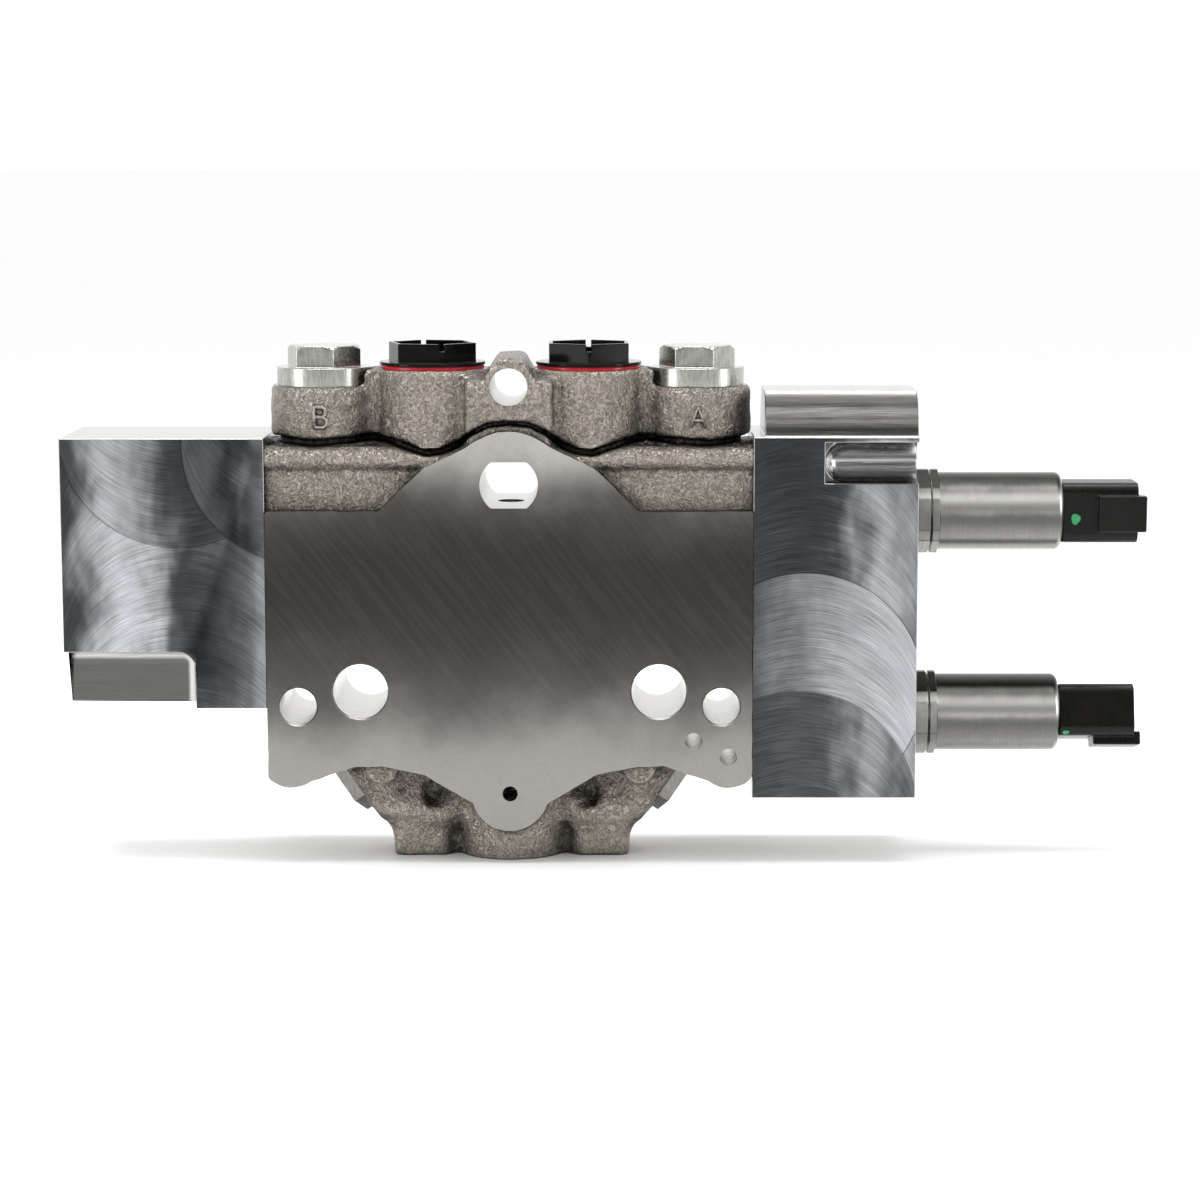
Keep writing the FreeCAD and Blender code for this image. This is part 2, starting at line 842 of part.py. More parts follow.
def cover_screw_cuts(screws, end):
    cuts = []
    for side, depth, height in screws:
        start = "half_width - overrun" if side > 0 else f"-{end} - overrun"
        length = f"{end} - half_width + 2 * overrun"
        cuts.append(cylinder("screw_clearance", length, (start, depth, height), X_AXIS))
        mouth = f"{end} - counterbore_depth" if side > 0 else f"-{end} - overrun"
        place = (mouth, depth, height)
        cuts.append(cylinder("counterbore_radius", "counterbore_depth + overrun", place, X_AXIS))
    return cuts


def left_cover():
    block = box(
        ("-left_end", "cover_inset", "left_base"), ("-half_width", "depth - cover_inset", "left_top")
    )
    outer = ("-left_end - overrun", "-overrun", "left_base - overrun")
    inner = (
        "-relief_end_side - relief_round",
        "relief_back - relief_round",
        "relief_top - relief_round",
    )
    edge = (outer[0], inner[1], inner[2])
    upright = (inner[0], inner[1], outer[2])
    cuts = [
        box(outer, ("-relief_end_side", inner[1], "relief_top")),
        box(outer, (inner[0], "relief_back", inner[2])),
        cylinder("relief_round", f"({inner[0]}) - ({outer[0]})", edge, X_AXIS),
        cylinder("relief_round", f"({inner[2]}) - ({outer[2]})", upright),
        ball("relief_round", inner),
    ]
    cuts += spring_chamber(-1) + cover_screw_cuts(LEFT_SCREWS, "left_end")
    line = ("-left_line_end", "pilot_line_depth", "pilot_line_height")
    cuts.append(cylinder("drilling_radius", "left_line_end - half_width + overrun", line, X_AXIS))
    riser = ("-riser_side", "riser_depth", "pilot_line_height")
    cuts.append(cylinder("drilling_radius", "-pilot_line_height", riser))
    node("left_cover", cut(block, cuts, "left_cover"))


def right_cover():
    block = box(
        ("half_width", "cover_inset", "right_base"), ("right_end", "depth - cover_inset", "right_top")
    )
    round_bar = cylinder(
        "crown_radius", "right_end - crown_start", ("crown_start", "mid_depth", "crown_axis"), X_AXIS
    )
    crown = box(
        ("crown_start", "crown_inset", "crown_axis"), ("right_end", "depth - crown_inset", "crown_top")
    )
    body = joined([block, common([round_bar, crown])])
    height = ("slot_height - slot_radius", "slot_height + slot_radius")
    mouth = box(
        ("slot_start", "-overrun", height[0]), ("right_end + overrun", "slot_axis_depth", height[1])
    )
    floor = ("slot_start + slot_radius", "slot_axis_depth", "slot_height")
    cuts = [
        mouth,
        cylinder("slot_radius", "right_end - slot_start", floor, X_AXIS),
        ball("slot_radius", floor),
    ]
    cuts += spring_chamber(1) + cover_screw_cuts(RIGHT_SCREWS, "right_end")
    for axis in ("upper_axis", "lower_axis"):
        nose = ("nose_start - overrun", "mid_depth", axis)
        cuts.append(cylinder("nose_bore", "nose_end - nose_start + overrun", nose, X_AXIS))
        bore = ("nose_end - overrun", "mid_depth", axis)
        length = "right_end - nose_end + 2 * overrun"
        cuts.append(cylinder("body_radius + fit_gap", length, bore, X_AXIS))
    for depth_height in (
        ("pilot_line_depth", "pilot_line_height"),
        ("mid_depth", "pilot_feed_height"),
        ("mid_depth", "pilot_drain_height"),
    ):
        place = ("half_width - overrun", *depth_height)
        cuts.append(cylinder("drilling_radius", "nose_end - half_width", place, X_AXIS))
    riser = ("feed_riser_side", "mid_depth", "lower_axis")
    cuts.append(cylinder("drilling_radius", "upper_axis - lower_axis", riser))
    node("right_cover", cut(body, cuts, "right_cover"))


def cover_screws(label, screws, end):
    """Socket-head screws through a cover into the housing, as separate solids in one node."""
    made = []
    for side, depth, height in screws:
        turn = X_AXIS if side > 0 else NEG_X_AXIS
        seat = f"{side} * ({end} - counterbore_depth)"
        shank = cylinder(
            "screw_radius",
            f"{end} - counterbore_depth - screw_tip",
            (f"{side} * screw_tip", depth, height),
            turn,
        )
        head = cylinder("screw_head_radius", "screw_head_length", (seat, depth, height), turn)
        key_floor = f"{side} * ({end} - counterbore_depth + screw_head_length - screw_key_depth)"
        socket = hexagon("screw_key", "screw_key_depth + overrun", (key_floor, depth, height), turn)
        made.append(cut(joined([shank, head]), [socket]))
    node(label, group(made, label))


# Main spool ---------------------------------------------------------------------------------


def main_spool():
    end = "spool_half_length"
    profile = [("-" + end, "0"), (end, "0"), (end, "spool_radius")]
    right = []
    for start, stop in (("relief_start", "relief_end"), ("meter_start", "meter_end")):
        right += [
            (stop, "spool_radius"),
            (stop, "spool_neck"),
            (start, "spool_neck"),
            (start, "spool_radius"),
        ]
    left = [(f"-{side}", radius) for side, radius in reversed(right)]
    profile += right + left + [("-" + end, "spool_radius")]
    stock = turned(profile, "spool_stock")
    holes = []
    for sign in (-1, 1):
        start = "spool_half_length - stem_hole" if sign > 0 else "-spool_half_length - overrun"
        place = (start, "0", "0")
        holes.append(cylinder("seat_stem + fit_gap", "stem_hole + overrun", place, X_AXIS))
    spool = cut(stock, holes, "main_spool")
    spool.setExpression("Placement.Base.y", on_sheet("mid_depth"))
    node("main_spool", spool)


def spring_seats():
    for side, sign, turn in (("left", -1, NEG_X_AXIS), ("right", 1, X_AXIS)):
        stem = (f"{sign} * (spool_half_length - stem_length)", "mid_depth", "0")
        plate = (f"{sign} * spool_half_length", "mid_depth", "0")
        length = "stem_length + seat_plate_length + seat_spigot_length"
        parts = [
            cylinder("seat_stem", "stem_length + overrun", stem, turn),
            cylinder("seat_plate", "seat_plate_length", plate, turn),
            cylinder("seat_spigot", "seat_plate_length + seat_spigot_length", plate, turn),
        ]
        vent = cylinder("vent_radius", f"{length} + overrun", stem, turn)
        node(f"{side}_spring_seat", cut(joined(parts), [vent], f"{side}_spring_seat"))
        coil_spring(
            "spring_radius",
            "spring_wire",
            6,
            "spool_half_length + seat_plate_length",
            "chamber_end - spool_half_length - seat_plate_length",
            ("0", "mid_depth", "0"),
            turn,
            f"{side}_centring_spring",
        )


# Compensator and shuttle --------------------------------------------------------------------


def compensator():
    foot = ("0", "mid_depth", "piston_foot")
    stock = cylinder("piston_radius", "piston_top - piston_foot", foot)
    waist = ("0", "mid_depth", "waist_base")
    cup = ("0", "mid_depth", "piston_foot - overrun")
    cuts = [
        tube("piston_radius + overrun", "piston_waist", "waist_length", waist),
        cylinder("piston_cup_radius", "piston_cup_top - piston_foot + overrun", cup),
    ]
    node("compensator_piston", cut(stock, cuts, "compensator_piston"))
    coil_spring(
        "foot_spring_radius",
        "foot_spring_wire",
        8,
        "foot_spring_floor",
        "piston_cup_top - foot_spring_floor",
        ("0", "mid_depth", "0"),
        Z_AXIS,
        "compensator_spring",
    )


def compensator_plug():
    thread = ("0", "mid_depth", "foot_plug_base")
    stock = joined(
        [
            cylinder("foot_plug_radius", "plug_seat - foot_plug_base", thread),
            cylinder("piston_radius - fit_gap", "foot_spring_floor - foot_plug_base", thread),
        ]
    )
    groove = ("0", "mid_depth", "foot_groove - foot_groove_width / 2")
    groove_floor = "foot_plug_radius - 2 * ring_section"
    key = ("0", "mid_depth", "foot_plug_base - overrun")
    cuts = [
        tube("foot_plug_radius + overrun", groove_floor, "foot_groove_width", groove),
        hexagon("foot_plug_key", "foot_plug_key_depth + overrun", key),
    ]
    node("compensator_plug", cut(stock, cuts, "compensator_plug"))
    seal = ("0", "mid_depth", "foot_groove")
    node("compensator_plug_seal", ring("foot_plug_radius - ring_section", "ring_section", seal))


def shuttle():
    node("shuttle_ball", ball("ball_radius", ("0", "ball_depth", "sensing_height")))
    place = ("0", "seat_floor", "sensing_height")
    node("shuttle_seat", tube("seat_radius", "seat_bore", "seat_end - seat_floor", place, Y_AXIS))


# Plugs and seals ----------------------------------------------------------------------------


def port_plug(label, sign, spin):
    """A slotted plastic hexagon cup with a thin flange and a hollow shank."""
    axis = (f"{sign} * port_pitch", "mid_depth")
    solids = [
        cylinder("cap_shank_radius", "gasket_top - cap_shank_base", (*axis, "cap_shank_base")),
        cylinder("flange_radius", "flange_top - gasket_top", (*axis, "gasket_top")),
        hexagon("cap_flats", "cap_top - gasket_top", (*axis, "gasket_top"), Z_AXIS, spin),
    ]
    hollow = "cap_top - flange_top + overrun"
    cuts = [
        hexagon("cap_bore_flats", hollow, (*axis, "flange_top"), Z_AXIS, spin),
        cylinder("cap_shank_bore", "cap_top - cap_shank_floor", (*axis, "cap_shank_floor")),
    ]
    slot = doc.addObject("Part::Box", "screwdriver_slot")
    slot.setExpression("Length", on_sheet("cap_slot_width"))
    slot.setExpression("Width", on_sheet("2 * cap_flats"))
    slot.setExpression("Height", on_sheet("cap_slot_depth + overrun"))
    cross = FreeCAD.Rotation(FreeCAD.Vector(0, 0, 1), spin - 30)
    corner = cross.multVec(FreeCAD.Vector(-measured("cap_slot_width") / 2, -measured("cap_flats"), 0))
    put(
        slot,
        (
            f"{sign} * port_pitch + ({corner.x})",
            f"mid_depth + ({corner.y})",
            "cap_top - cap_slot_depth",
        ),
        cross,
    )
    node(label, cut(joined(solids), cuts + [slot], label))


def port_gasket(label, sign):
    place = (f"{sign} * port_pitch", "mid_depth", "port_boss_top")
    bore = "cap_shank_radius + fit_gap"
    node(label, tube("gasket_radius", bore, "gasket_top - port_boss_top", place))


def hex_plug(label, sign, spin):
    """A zinc-plated plug: chamfered hexagon, round collar and a plain shank in the cavity."""
    axis = (f"{sign} * cavity_pitch", "mid_depth")
    height = "hex_plug_top - collar_top"
    head = hexagon("hex_plug_flats", height, (*axis, "collar_top"), Z_AXIS, spin)
    chamfer = cone("hex_plug_cone", "hex_plug_crown", height, (*axis, "collar_top"))
    solids = [
        common([head, chamfer]),
        cylinder("collar_radius", "collar_top - cavity_boss_top", (*axis, "cavity_boss_top")),
        cylinder("hex_plug_shank", "collar_top - hex_plug_base", (*axis, "hex_plug_base")),
    ]
    groove = (*axis, "plug_ring_height - plug_groove_width / 2")
    cuts = [tube("cavity_bore_radius", "plug_groove_radius", "plug_groove_width", groove)]
    node(label, cut(joined(solids), cuts, label))
    seal = ring("plug_ring_centre", "cartridge_ring_section", (*axis, "plug_ring_height"))
    node(f"{label}_seal", seal)


def angled_plugs():
    seals = []
    for side, sign in (("left", -1), ("right", 1)):
        face, turn = angled(sign, "0")
        foot, turn = angled(sign, "-angled_shank_length")
        solids = [
            hexagon("angled_flats", "angled_head", face, turn),
            cylinder("angled_shank", "angled_shank_length + overrun", foot, turn),
        ]
        groove, turn = angled(sign, "-angled_groove_offset")
        cuts = [tube("angled_bore", "angled_groove", "angled_groove_width", groove, turn)]
        label = f"{side}_sensing_plug"
        node(label, cut(joined(solids), cuts, label))
        middle, turn = angled(sign, "-angled_groove_offset + angled_groove_width / 2")
        seals.append(ring("angled_ring_centre", "cartridge_ring_section", middle, turn))
    node("sensing_plug_seals", group(seals, "sensing_plug_seals"))


def face_seals():
    for side, sign in (("left", -1), ("right", 1)):
        place = (f"{sign} * (half_width + ring_section)", "mid_depth", "0")
        node(f"{side}_cover_seal", ring("cover_ring", "ring_section", place, X_AXIS))
    for label, rings in STACK_RINGS.items():
        made = []
        for side, height, centre in rings:
            place = (side, "depth - ring_section", height)
            made.append(ring(centre, "ring_section", place, Y_AXIS))
        node(label, made[0] if len(made) == 1 else group(made, label))


# Pilot valves -------------------------------------------------------------------------------


def along(side, axis):
    return (side, "mid_depth", axis)


def pilot_valve_body(prefix, axis):
    """The steel cartridge body: a drilled nose in the cover and a hexagon outside it."""
    hexed = hexagon("hex_flats", "hex_length", along("right_end", axis), X_AXIS)
    rounding = cylinder("hex_corner_radius", "hex_length", along("right_end", axis), X_AXIS)
    solids = [
        common([hexed, rounding]),
        cylinder("nose_radius", "right_end - nose_start", along("nose_start", axis), X_AXIS),
        cylinder("body_radius", "right_end - nose_end + overrun", along("nose_end", axis), X_AXIS),
    ]
    hex_end = "right_end + hex_length"
    bore = along("pilot_bore_start", axis)
    counterbore = along("tube_start", axis)
    groove = along("right_end + hex_groove", axis)
    cuts = [
        cylinder("pilot_spool_radius + running_gap", f"{hex_end} - pilot_bore_start", bore, X_AXIS),
        cylinder("tube_radius + fit_gap", f"{hex_end} - tube_start + overrun", counterbore, X_AXIS),
        tube("hex_corner_radius + overrun", "hex_groove_radius", "hex_groove_width", groove, X_AXIS),
    ]
    for centre, side, outer in (
        ("body_ring_centre", "body_ring_side", "body_radius + overrun"),
        ("nose_ring_centre", "nose_ring_side", "nose_radius + overrun"),
    ):
        inner = f"{centre} - cartridge_ring_section"
        start = along(f"{side} - cartridge_ring_section", axis)
        cuts.append(tube(outer, inner, "2 * cartridge_ring_section", start, X_AXIS))
    for side in ("first_port_side", "second_port_side"):
        place = (side, "mid_depth", f"{axis} - body_radius - overrun")
        cuts.append(cylinder("port_hole_radius", "2 * (body_radius + overrun)", place))
    label = f"{prefix}_valve_body"
    node(label, cut(joined(solids), cuts, label))


def pilot_seals(prefix, axis):
    rings = [
        ring("body_ring_centre", "cartridge_ring_section", along("body_ring_side", axis), X_AXIS),
        ring("nose_ring_centre", "cartridge_ring_section", along("nose_ring_side", axis), X_AXIS),
    ]
    node(f"{prefix}_cartridge_seals", group(rings, f"{prefix}_cartridge_seals"))


def pilot_spool(prefix, axis):
    length = "pilot_spool_end - pilot_spool_start"
    stock = cylinder("pilot_spool_radius", length, along("pilot_spool_start", axis), X_AXIS)
    stem_start = along("pilot_spool_start", axis)
    stem = cylinder("pilot_stem_radius", "armature_start - pilot_spool_start", stem_start, X_AXIS)
    neck_length = "pilot_neck_end - pilot_neck_start"
    neck_start = along("pilot_neck_start", axis)
    outer = "pilot_spool_radius + overrun"
    neck = tube(outer, "pilot_neck_radius", neck_length, neck_start, X_AXIS)
    label = f"{prefix}_pilot_spool"
    node(label, cut(joined([stock, stem]), [neck], label))
    coil_spring(
        "pilot_spring_radius",
        "pilot_spring_wire",
        5,
        "pilot_bore_start",
        "pilot_spool_start - pilot_bore_start",
        ("0", "mid_depth", axis),
        X_AXIS,
        f"{prefix}_return_spring",
    )


def solenoid(prefix, axis):
    """The fixed magnet: armature tube, pole piece, bobbin, winding and steel can."""
    outer = cylinder("tube_radius", "tube_end - tube_start", along("tube_start", axis), X_AXIS)
    open_end = along("tube_start - overrun", axis)
    bore = cylinder("tube_bore", "tube_bore_end - tube_start + overrun", open_end, X_AXIS)
    label = f"{prefix}_armature_tube"
    node(label, cut(outer, [bore], label))
    pole_start = along("pole_start", axis)
    pole = tube("armature_radius", "pole_bore", "pole_end - pole_start", pole_start, X_AXIS)
    node(f"{prefix}_pole_piece", pole)
    start = along("coil_start", axis)
    wound_start = along("coil_start + bobbin_flange", axis)
    length = "coil_end - coil_start"
    wound_length = f"{length} - 2 * bobbin_flange"
    bobbin = cylinder("coil_radius", length, start, X_AXIS)
    waist = tube("coil_radius + overrun", "bobbin_radius", wound_length, wound_start, X_AXIS)
    sleeve = cylinder("tube_radius + fit_gap", length, start, X_AXIS)
    label = f"{prefix}_coil_bobbin"
    node(label, cut(bobbin, [waist, sleeve], label))
    winding = tube("winding_radius", "bobbin_radius", wound_length, wound_start, X_AXIS)
    node(f"{prefix}_coil_winding", winding)


def solenoid_can(prefix, axis):
    start = along("right_end + hex_length", axis)
    length = "can_end - right_end - hex_length"
    straight = cylinder("can_radius", f"{length} - can_round", start, X_AXIS)
    plug = cylinder("can_radius - can_round", length, start, X_AXIS)
    rounding = ring("can_radius - can_round", "can_round", along("can_end - can_round", axis), X_AXIS)
    cuts = [
        cylinder("can_radius - can_wall", f"{length} - can_end_wall", start, X_AXIS),
        cylinder("connector_neck + fit_gap", f"{length} + overrun", start, X_AXIS),
    ]
    label = f"{prefix}_solenoid_can"
    node(label, cut(joined([straight, plug, rounding]), cuts, label))


def armature(prefix, axis):
    length = "armature_end - armature_start"
    start = along("armature_start", axis)
    stock = cylinder("armature_radius", length, start, X_AXIS)
    vent = cylinder("vent_radius", length, start, X_AXIS)
    label = f"{prefix}_armature"
    node(label, cut(stock, [vent], label))


def rounded_bar(wide, high, corner, start, end):
    """A bar along X with rounded corners, centred on the X axis."""
    half_wide = f"{wide} / 2"
    half_high = f"{high} / 2"
    low_side = f"-{half_wide} + {corner}"
    high_side = f"{half_wide} - {corner}"
    low_face = f"-{half_high} + {corner}"
    high_face = f"{half_high} - {corner}"
    bars = [
        box((start, low_face, f"-{half_wide}"), (end, high_face, half_wide)),
        box((start, f"-{half_high}", low_side), (end, half_high, high_side)),
    ]
    for across in (-1, 1):
        for up in (-1, 1):
            place = (
                start,
                f"{across} * ({half_high} - {corner})",
                f"{up} * ({half_wide} - {corner})",
            )
            bars.append(cylinder(corner, f"({end}) - ({start})", place, X_AXIS))
    return joined(bars)


def connector(prefix, axis, turn_size):
    """A two-pin connector shell with a latch rib, turned about the cartridge's own axis."""
    corner = "connector_round"
    shell = rounded_bar("connector_wide", "connector_high", corner, "can_end", "connector_end")
    rib = box(
        ("latch_start", "-connector_high / 2 - latch_rise", "-latch_wide / 2"),
        ("latch_end", "-connector_high / 2 + latch_root", "latch_wide / 2"),
    )
    base = ("disc_start", "0", "0")
    neck = cylinder("connector_neck", "can_end - disc_start + overrun", base, X_AXIS)
    disc = cylinder("connector_disc", "disc_length", base, X_AXIS)
    relief = cylinder("tube_radius + fit_gap", "disc_relief_end - disc_start", base, X_AXIS)
    mouth = "connector_end + overrun"
    socket = rounded_bar("socket_wide", "socket_high", "socket_round", "socket_floor", mouth)
    cuts = [relief, socket]
    pins = []
    for sign in (-1, 1):
        place = ("pin_start", "0", f"{sign} * pin_pitch / 2")
        cuts.append(cylinder("pin_radius", "socket_floor - pin_start + overrun", place, X_AXIS))
        pin = cylinder("pin_radius", "pin_end - pin_tip - pin_start", place, X_AXIS)
        tip_place = ("pin_end - pin_tip", "0", place[2])
        tip = cone("pin_radius", "pin_radius / 2", "pin_tip", tip_place, X_AXIS)
        pins.append(joined([pin, tip]))
    body = cut(joined([shell, rib, neck, disc]), cuts, f"{prefix}_connector")
    contacts = group(pins, f"{prefix}_connector_pins")
    spin = FreeCAD.Rotation(FreeCAD.Vector(1, 0, 0), measured(turn_size))
    for label, item in ((f"{prefix}_connector", body), (f"{prefix}_connector_pins", contacts)):
        node(label, put(item, ("0", "mid_depth", axis), spin))


def pilot_valve(prefix, axis, connector_turn):
    pilot_valve_body(prefix, axis)
    pilot_seals(prefix, axis)
    pilot_spool(prefix, axis)
    solenoid(prefix, axis)
    solenoid_can(prefix, axis)
    armature(prefix, axis)
    connector(prefix, axis, connector_turn)


def build():
    housing()
    left_cover()
    right_cover()
    cover_screws("left_cover_screws", LEFT_SCREWS, "left_end")
    cover_screws("right_cover_screws", RIGHT_SCREWS, "right_end")
    main_spool()
    spring_seats()
    compensator()
    compensator_plug()
    shuttle()
    port_plug("port_plug_b", -1, measured("left_cap_turn"))
    port_plug("port_plug_a", 1, measured("right_cap_turn"))
    port_gasket("port_gasket_b", -1)
    port_gasket("port_gasket_a", 1)
    hex_plug("cavity_plug_b", -1, measured("left_hex_turn"))
    hex_plug("cavity_plug_a", 1, measured("right_hex_turn"))
    angled_plugs()
    face_seals()
    pilot_valve("upper", "upper_axis", "0")
    pilot_valve("lower", "lower_axis", "lower_connector_turn")


def write_parts():
    """Recompute, refuse anything that failed, and write one STEP file for each sub-part."""
    doc.recompute()
    failed = [item.Name for item in doc.Objects if {"Invalid", "Error"} & set(item.State)]
    if failed:
        raise RuntimeError(f"these objects failed: {failed}")
    os.makedirs("parts", exist_ok=True)
    for label, item in NODES.items():
        shape = item.Shape
        if shape.isNull() or not shape.isValid() or not shape.Solids:
            raise RuntimeError(f"{label} has no valid solid")
        shape.exportStep(os.path.join("parts", f"{label}.step"))
        print(f"{label}: {len(shape.Solids)} solid(s), {shape.Volume:.0f} mm3")


build()
write_parts()
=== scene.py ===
import sys
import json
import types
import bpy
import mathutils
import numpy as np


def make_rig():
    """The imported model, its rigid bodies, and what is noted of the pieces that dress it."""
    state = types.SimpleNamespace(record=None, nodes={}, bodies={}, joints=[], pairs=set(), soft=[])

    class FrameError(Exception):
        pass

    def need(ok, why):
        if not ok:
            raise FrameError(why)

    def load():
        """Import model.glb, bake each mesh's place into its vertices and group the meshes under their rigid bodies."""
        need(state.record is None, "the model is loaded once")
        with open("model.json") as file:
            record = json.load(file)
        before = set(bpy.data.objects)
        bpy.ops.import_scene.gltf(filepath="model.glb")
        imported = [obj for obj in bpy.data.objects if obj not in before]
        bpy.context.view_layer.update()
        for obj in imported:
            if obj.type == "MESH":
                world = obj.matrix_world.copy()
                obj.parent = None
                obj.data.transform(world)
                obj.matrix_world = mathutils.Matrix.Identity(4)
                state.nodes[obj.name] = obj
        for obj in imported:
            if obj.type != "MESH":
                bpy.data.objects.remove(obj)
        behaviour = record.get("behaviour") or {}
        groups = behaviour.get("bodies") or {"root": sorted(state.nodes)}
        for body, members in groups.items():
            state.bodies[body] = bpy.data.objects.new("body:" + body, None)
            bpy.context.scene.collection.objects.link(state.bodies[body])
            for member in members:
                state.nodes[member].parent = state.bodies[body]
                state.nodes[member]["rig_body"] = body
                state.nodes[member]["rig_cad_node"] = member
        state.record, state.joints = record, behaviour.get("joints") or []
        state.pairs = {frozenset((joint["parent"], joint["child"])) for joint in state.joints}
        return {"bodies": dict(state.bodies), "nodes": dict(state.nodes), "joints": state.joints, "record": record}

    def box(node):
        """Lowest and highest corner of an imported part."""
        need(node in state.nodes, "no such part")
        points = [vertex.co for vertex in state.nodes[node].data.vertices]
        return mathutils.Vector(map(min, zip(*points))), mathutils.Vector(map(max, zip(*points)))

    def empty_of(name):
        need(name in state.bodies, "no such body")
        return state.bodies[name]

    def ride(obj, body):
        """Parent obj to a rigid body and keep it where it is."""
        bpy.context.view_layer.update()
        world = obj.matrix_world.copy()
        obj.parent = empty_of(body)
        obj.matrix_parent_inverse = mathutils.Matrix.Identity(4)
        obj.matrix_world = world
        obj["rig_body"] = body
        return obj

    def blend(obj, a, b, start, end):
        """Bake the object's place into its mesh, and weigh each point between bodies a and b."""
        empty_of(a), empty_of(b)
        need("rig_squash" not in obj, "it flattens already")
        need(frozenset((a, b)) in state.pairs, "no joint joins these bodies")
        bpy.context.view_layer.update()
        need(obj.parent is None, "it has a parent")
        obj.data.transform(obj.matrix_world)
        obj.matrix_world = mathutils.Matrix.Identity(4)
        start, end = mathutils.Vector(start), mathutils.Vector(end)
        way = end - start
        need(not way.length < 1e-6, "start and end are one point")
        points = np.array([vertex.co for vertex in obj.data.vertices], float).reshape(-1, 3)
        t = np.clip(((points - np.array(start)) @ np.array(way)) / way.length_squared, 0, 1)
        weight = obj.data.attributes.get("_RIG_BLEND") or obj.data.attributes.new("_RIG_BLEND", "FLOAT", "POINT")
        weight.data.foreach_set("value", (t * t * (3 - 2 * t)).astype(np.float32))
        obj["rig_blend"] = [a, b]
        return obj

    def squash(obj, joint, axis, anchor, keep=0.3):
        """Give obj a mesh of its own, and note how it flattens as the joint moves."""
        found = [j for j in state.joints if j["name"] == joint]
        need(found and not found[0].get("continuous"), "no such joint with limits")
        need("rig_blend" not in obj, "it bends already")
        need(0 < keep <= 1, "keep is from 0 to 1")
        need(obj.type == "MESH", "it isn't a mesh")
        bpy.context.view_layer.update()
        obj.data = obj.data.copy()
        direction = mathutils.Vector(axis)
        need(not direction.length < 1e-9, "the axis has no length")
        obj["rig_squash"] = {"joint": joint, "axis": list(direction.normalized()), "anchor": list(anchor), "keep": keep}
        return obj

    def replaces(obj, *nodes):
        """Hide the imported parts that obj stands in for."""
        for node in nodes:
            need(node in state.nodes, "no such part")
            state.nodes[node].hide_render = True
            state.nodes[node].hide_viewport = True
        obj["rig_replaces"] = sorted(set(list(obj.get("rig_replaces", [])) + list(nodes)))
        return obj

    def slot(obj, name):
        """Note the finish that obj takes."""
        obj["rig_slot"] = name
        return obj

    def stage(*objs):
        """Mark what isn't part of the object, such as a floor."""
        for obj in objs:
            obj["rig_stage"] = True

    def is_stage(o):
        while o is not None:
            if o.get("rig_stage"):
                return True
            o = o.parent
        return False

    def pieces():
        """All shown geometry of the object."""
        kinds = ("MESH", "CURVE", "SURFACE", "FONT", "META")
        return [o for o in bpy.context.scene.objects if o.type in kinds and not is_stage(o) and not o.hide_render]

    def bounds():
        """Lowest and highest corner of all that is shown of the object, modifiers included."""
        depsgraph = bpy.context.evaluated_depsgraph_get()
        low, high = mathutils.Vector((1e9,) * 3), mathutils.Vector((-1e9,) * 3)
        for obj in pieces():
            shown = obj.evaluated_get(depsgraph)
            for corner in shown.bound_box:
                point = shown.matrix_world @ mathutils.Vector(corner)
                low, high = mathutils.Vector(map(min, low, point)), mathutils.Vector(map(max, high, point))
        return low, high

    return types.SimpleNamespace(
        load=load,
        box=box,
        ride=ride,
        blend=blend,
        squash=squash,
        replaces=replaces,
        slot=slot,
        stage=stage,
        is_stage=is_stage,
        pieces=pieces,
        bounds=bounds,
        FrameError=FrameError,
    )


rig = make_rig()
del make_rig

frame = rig.load()

import json
import math

import bmesh
import bpy
import numpy as np
from mathutils import Matrix, Vector

# Looks of one directional valve section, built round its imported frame.  Shapes are worked out in
# millimetres and turned into metres where a mesh is made.

MM = 0.001
CAD_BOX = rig.bounds()
NODES = frame["nodes"]

# Places and sizes in millimetres that the housing, the plugs and the covers share.
DEPTH = 44
MID = DEPTH / 2
HALF_WIDTH = 73
PORT_SIDE = 23.7
CAVITY_SIDE = 56.5
PORT_TOP = 59.6
CAVITY_TOP = 54.8
FOOT_BASE = -88.8
RING_SECTION = 0.9
CORNER = 1e-6  # how near two places have to be to count as one, in metres


def node_box(name):
    """Lowest and highest corner of a frame node, in millimetres."""
    low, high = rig.box(name)
    return low / MM, high / MM


# Camera, floor and light -------------------------


def add_object(name, data):
    """A new object of the scene with the given data."""
    item = bpy.data.objects.new(name, data)
    bpy.context.scene.collection.objects.link(item)
    return item


def make_camera():
    data = bpy.data.cameras.new("camera")
    data.sensor_width = 36
    data.lens = 95.3
    data.shift_x = -0.0167
    data.clip_end = 200
    camera = add_object("camera", data)
    camera.location = (0.0332, -0.942, 0.1244)
    camera.rotation_euler = (math.radians(81.99), 0, 0)
    bpy.context.scene.camera = camera


def area_light(name, place, target, size, power):
    data = bpy.data.lights.new(name, "AREA")
    data.shape = "RECTANGLE"
    data.size, data.size_y = size
    data.energy = power
    lamp = add_object(name, data)
    lamp.location = place
    lamp.rotation_euler = (Vector(target) - Vector(place)).to_track_quat("-Z", "Y").to_euler()


# How bright the surroundings are by a part of the direction, as (part, low, high, strength at low,
# strength at high).  The brightest one counts, so the front stays dark and the metal has contrast.
SKY_LEVELS = (("Z", 0.30, 0.98, 0.10, 1.25), ("Y", -0.2, 0.5, 0, 1.25))
FLOOR_HALF = 40  # half the floor's width, in metres


def brighter(tree, first, second):
    """The larger of two strengths in the world's nodes."""
    node = tree.nodes.new("ShaderNodeMath")
    node.operation = "MAXIMUM"
    tree.links.new(first, node.inputs[0])
    tree.links.new(second, node.inputs[1])
    return node.outputs[0]


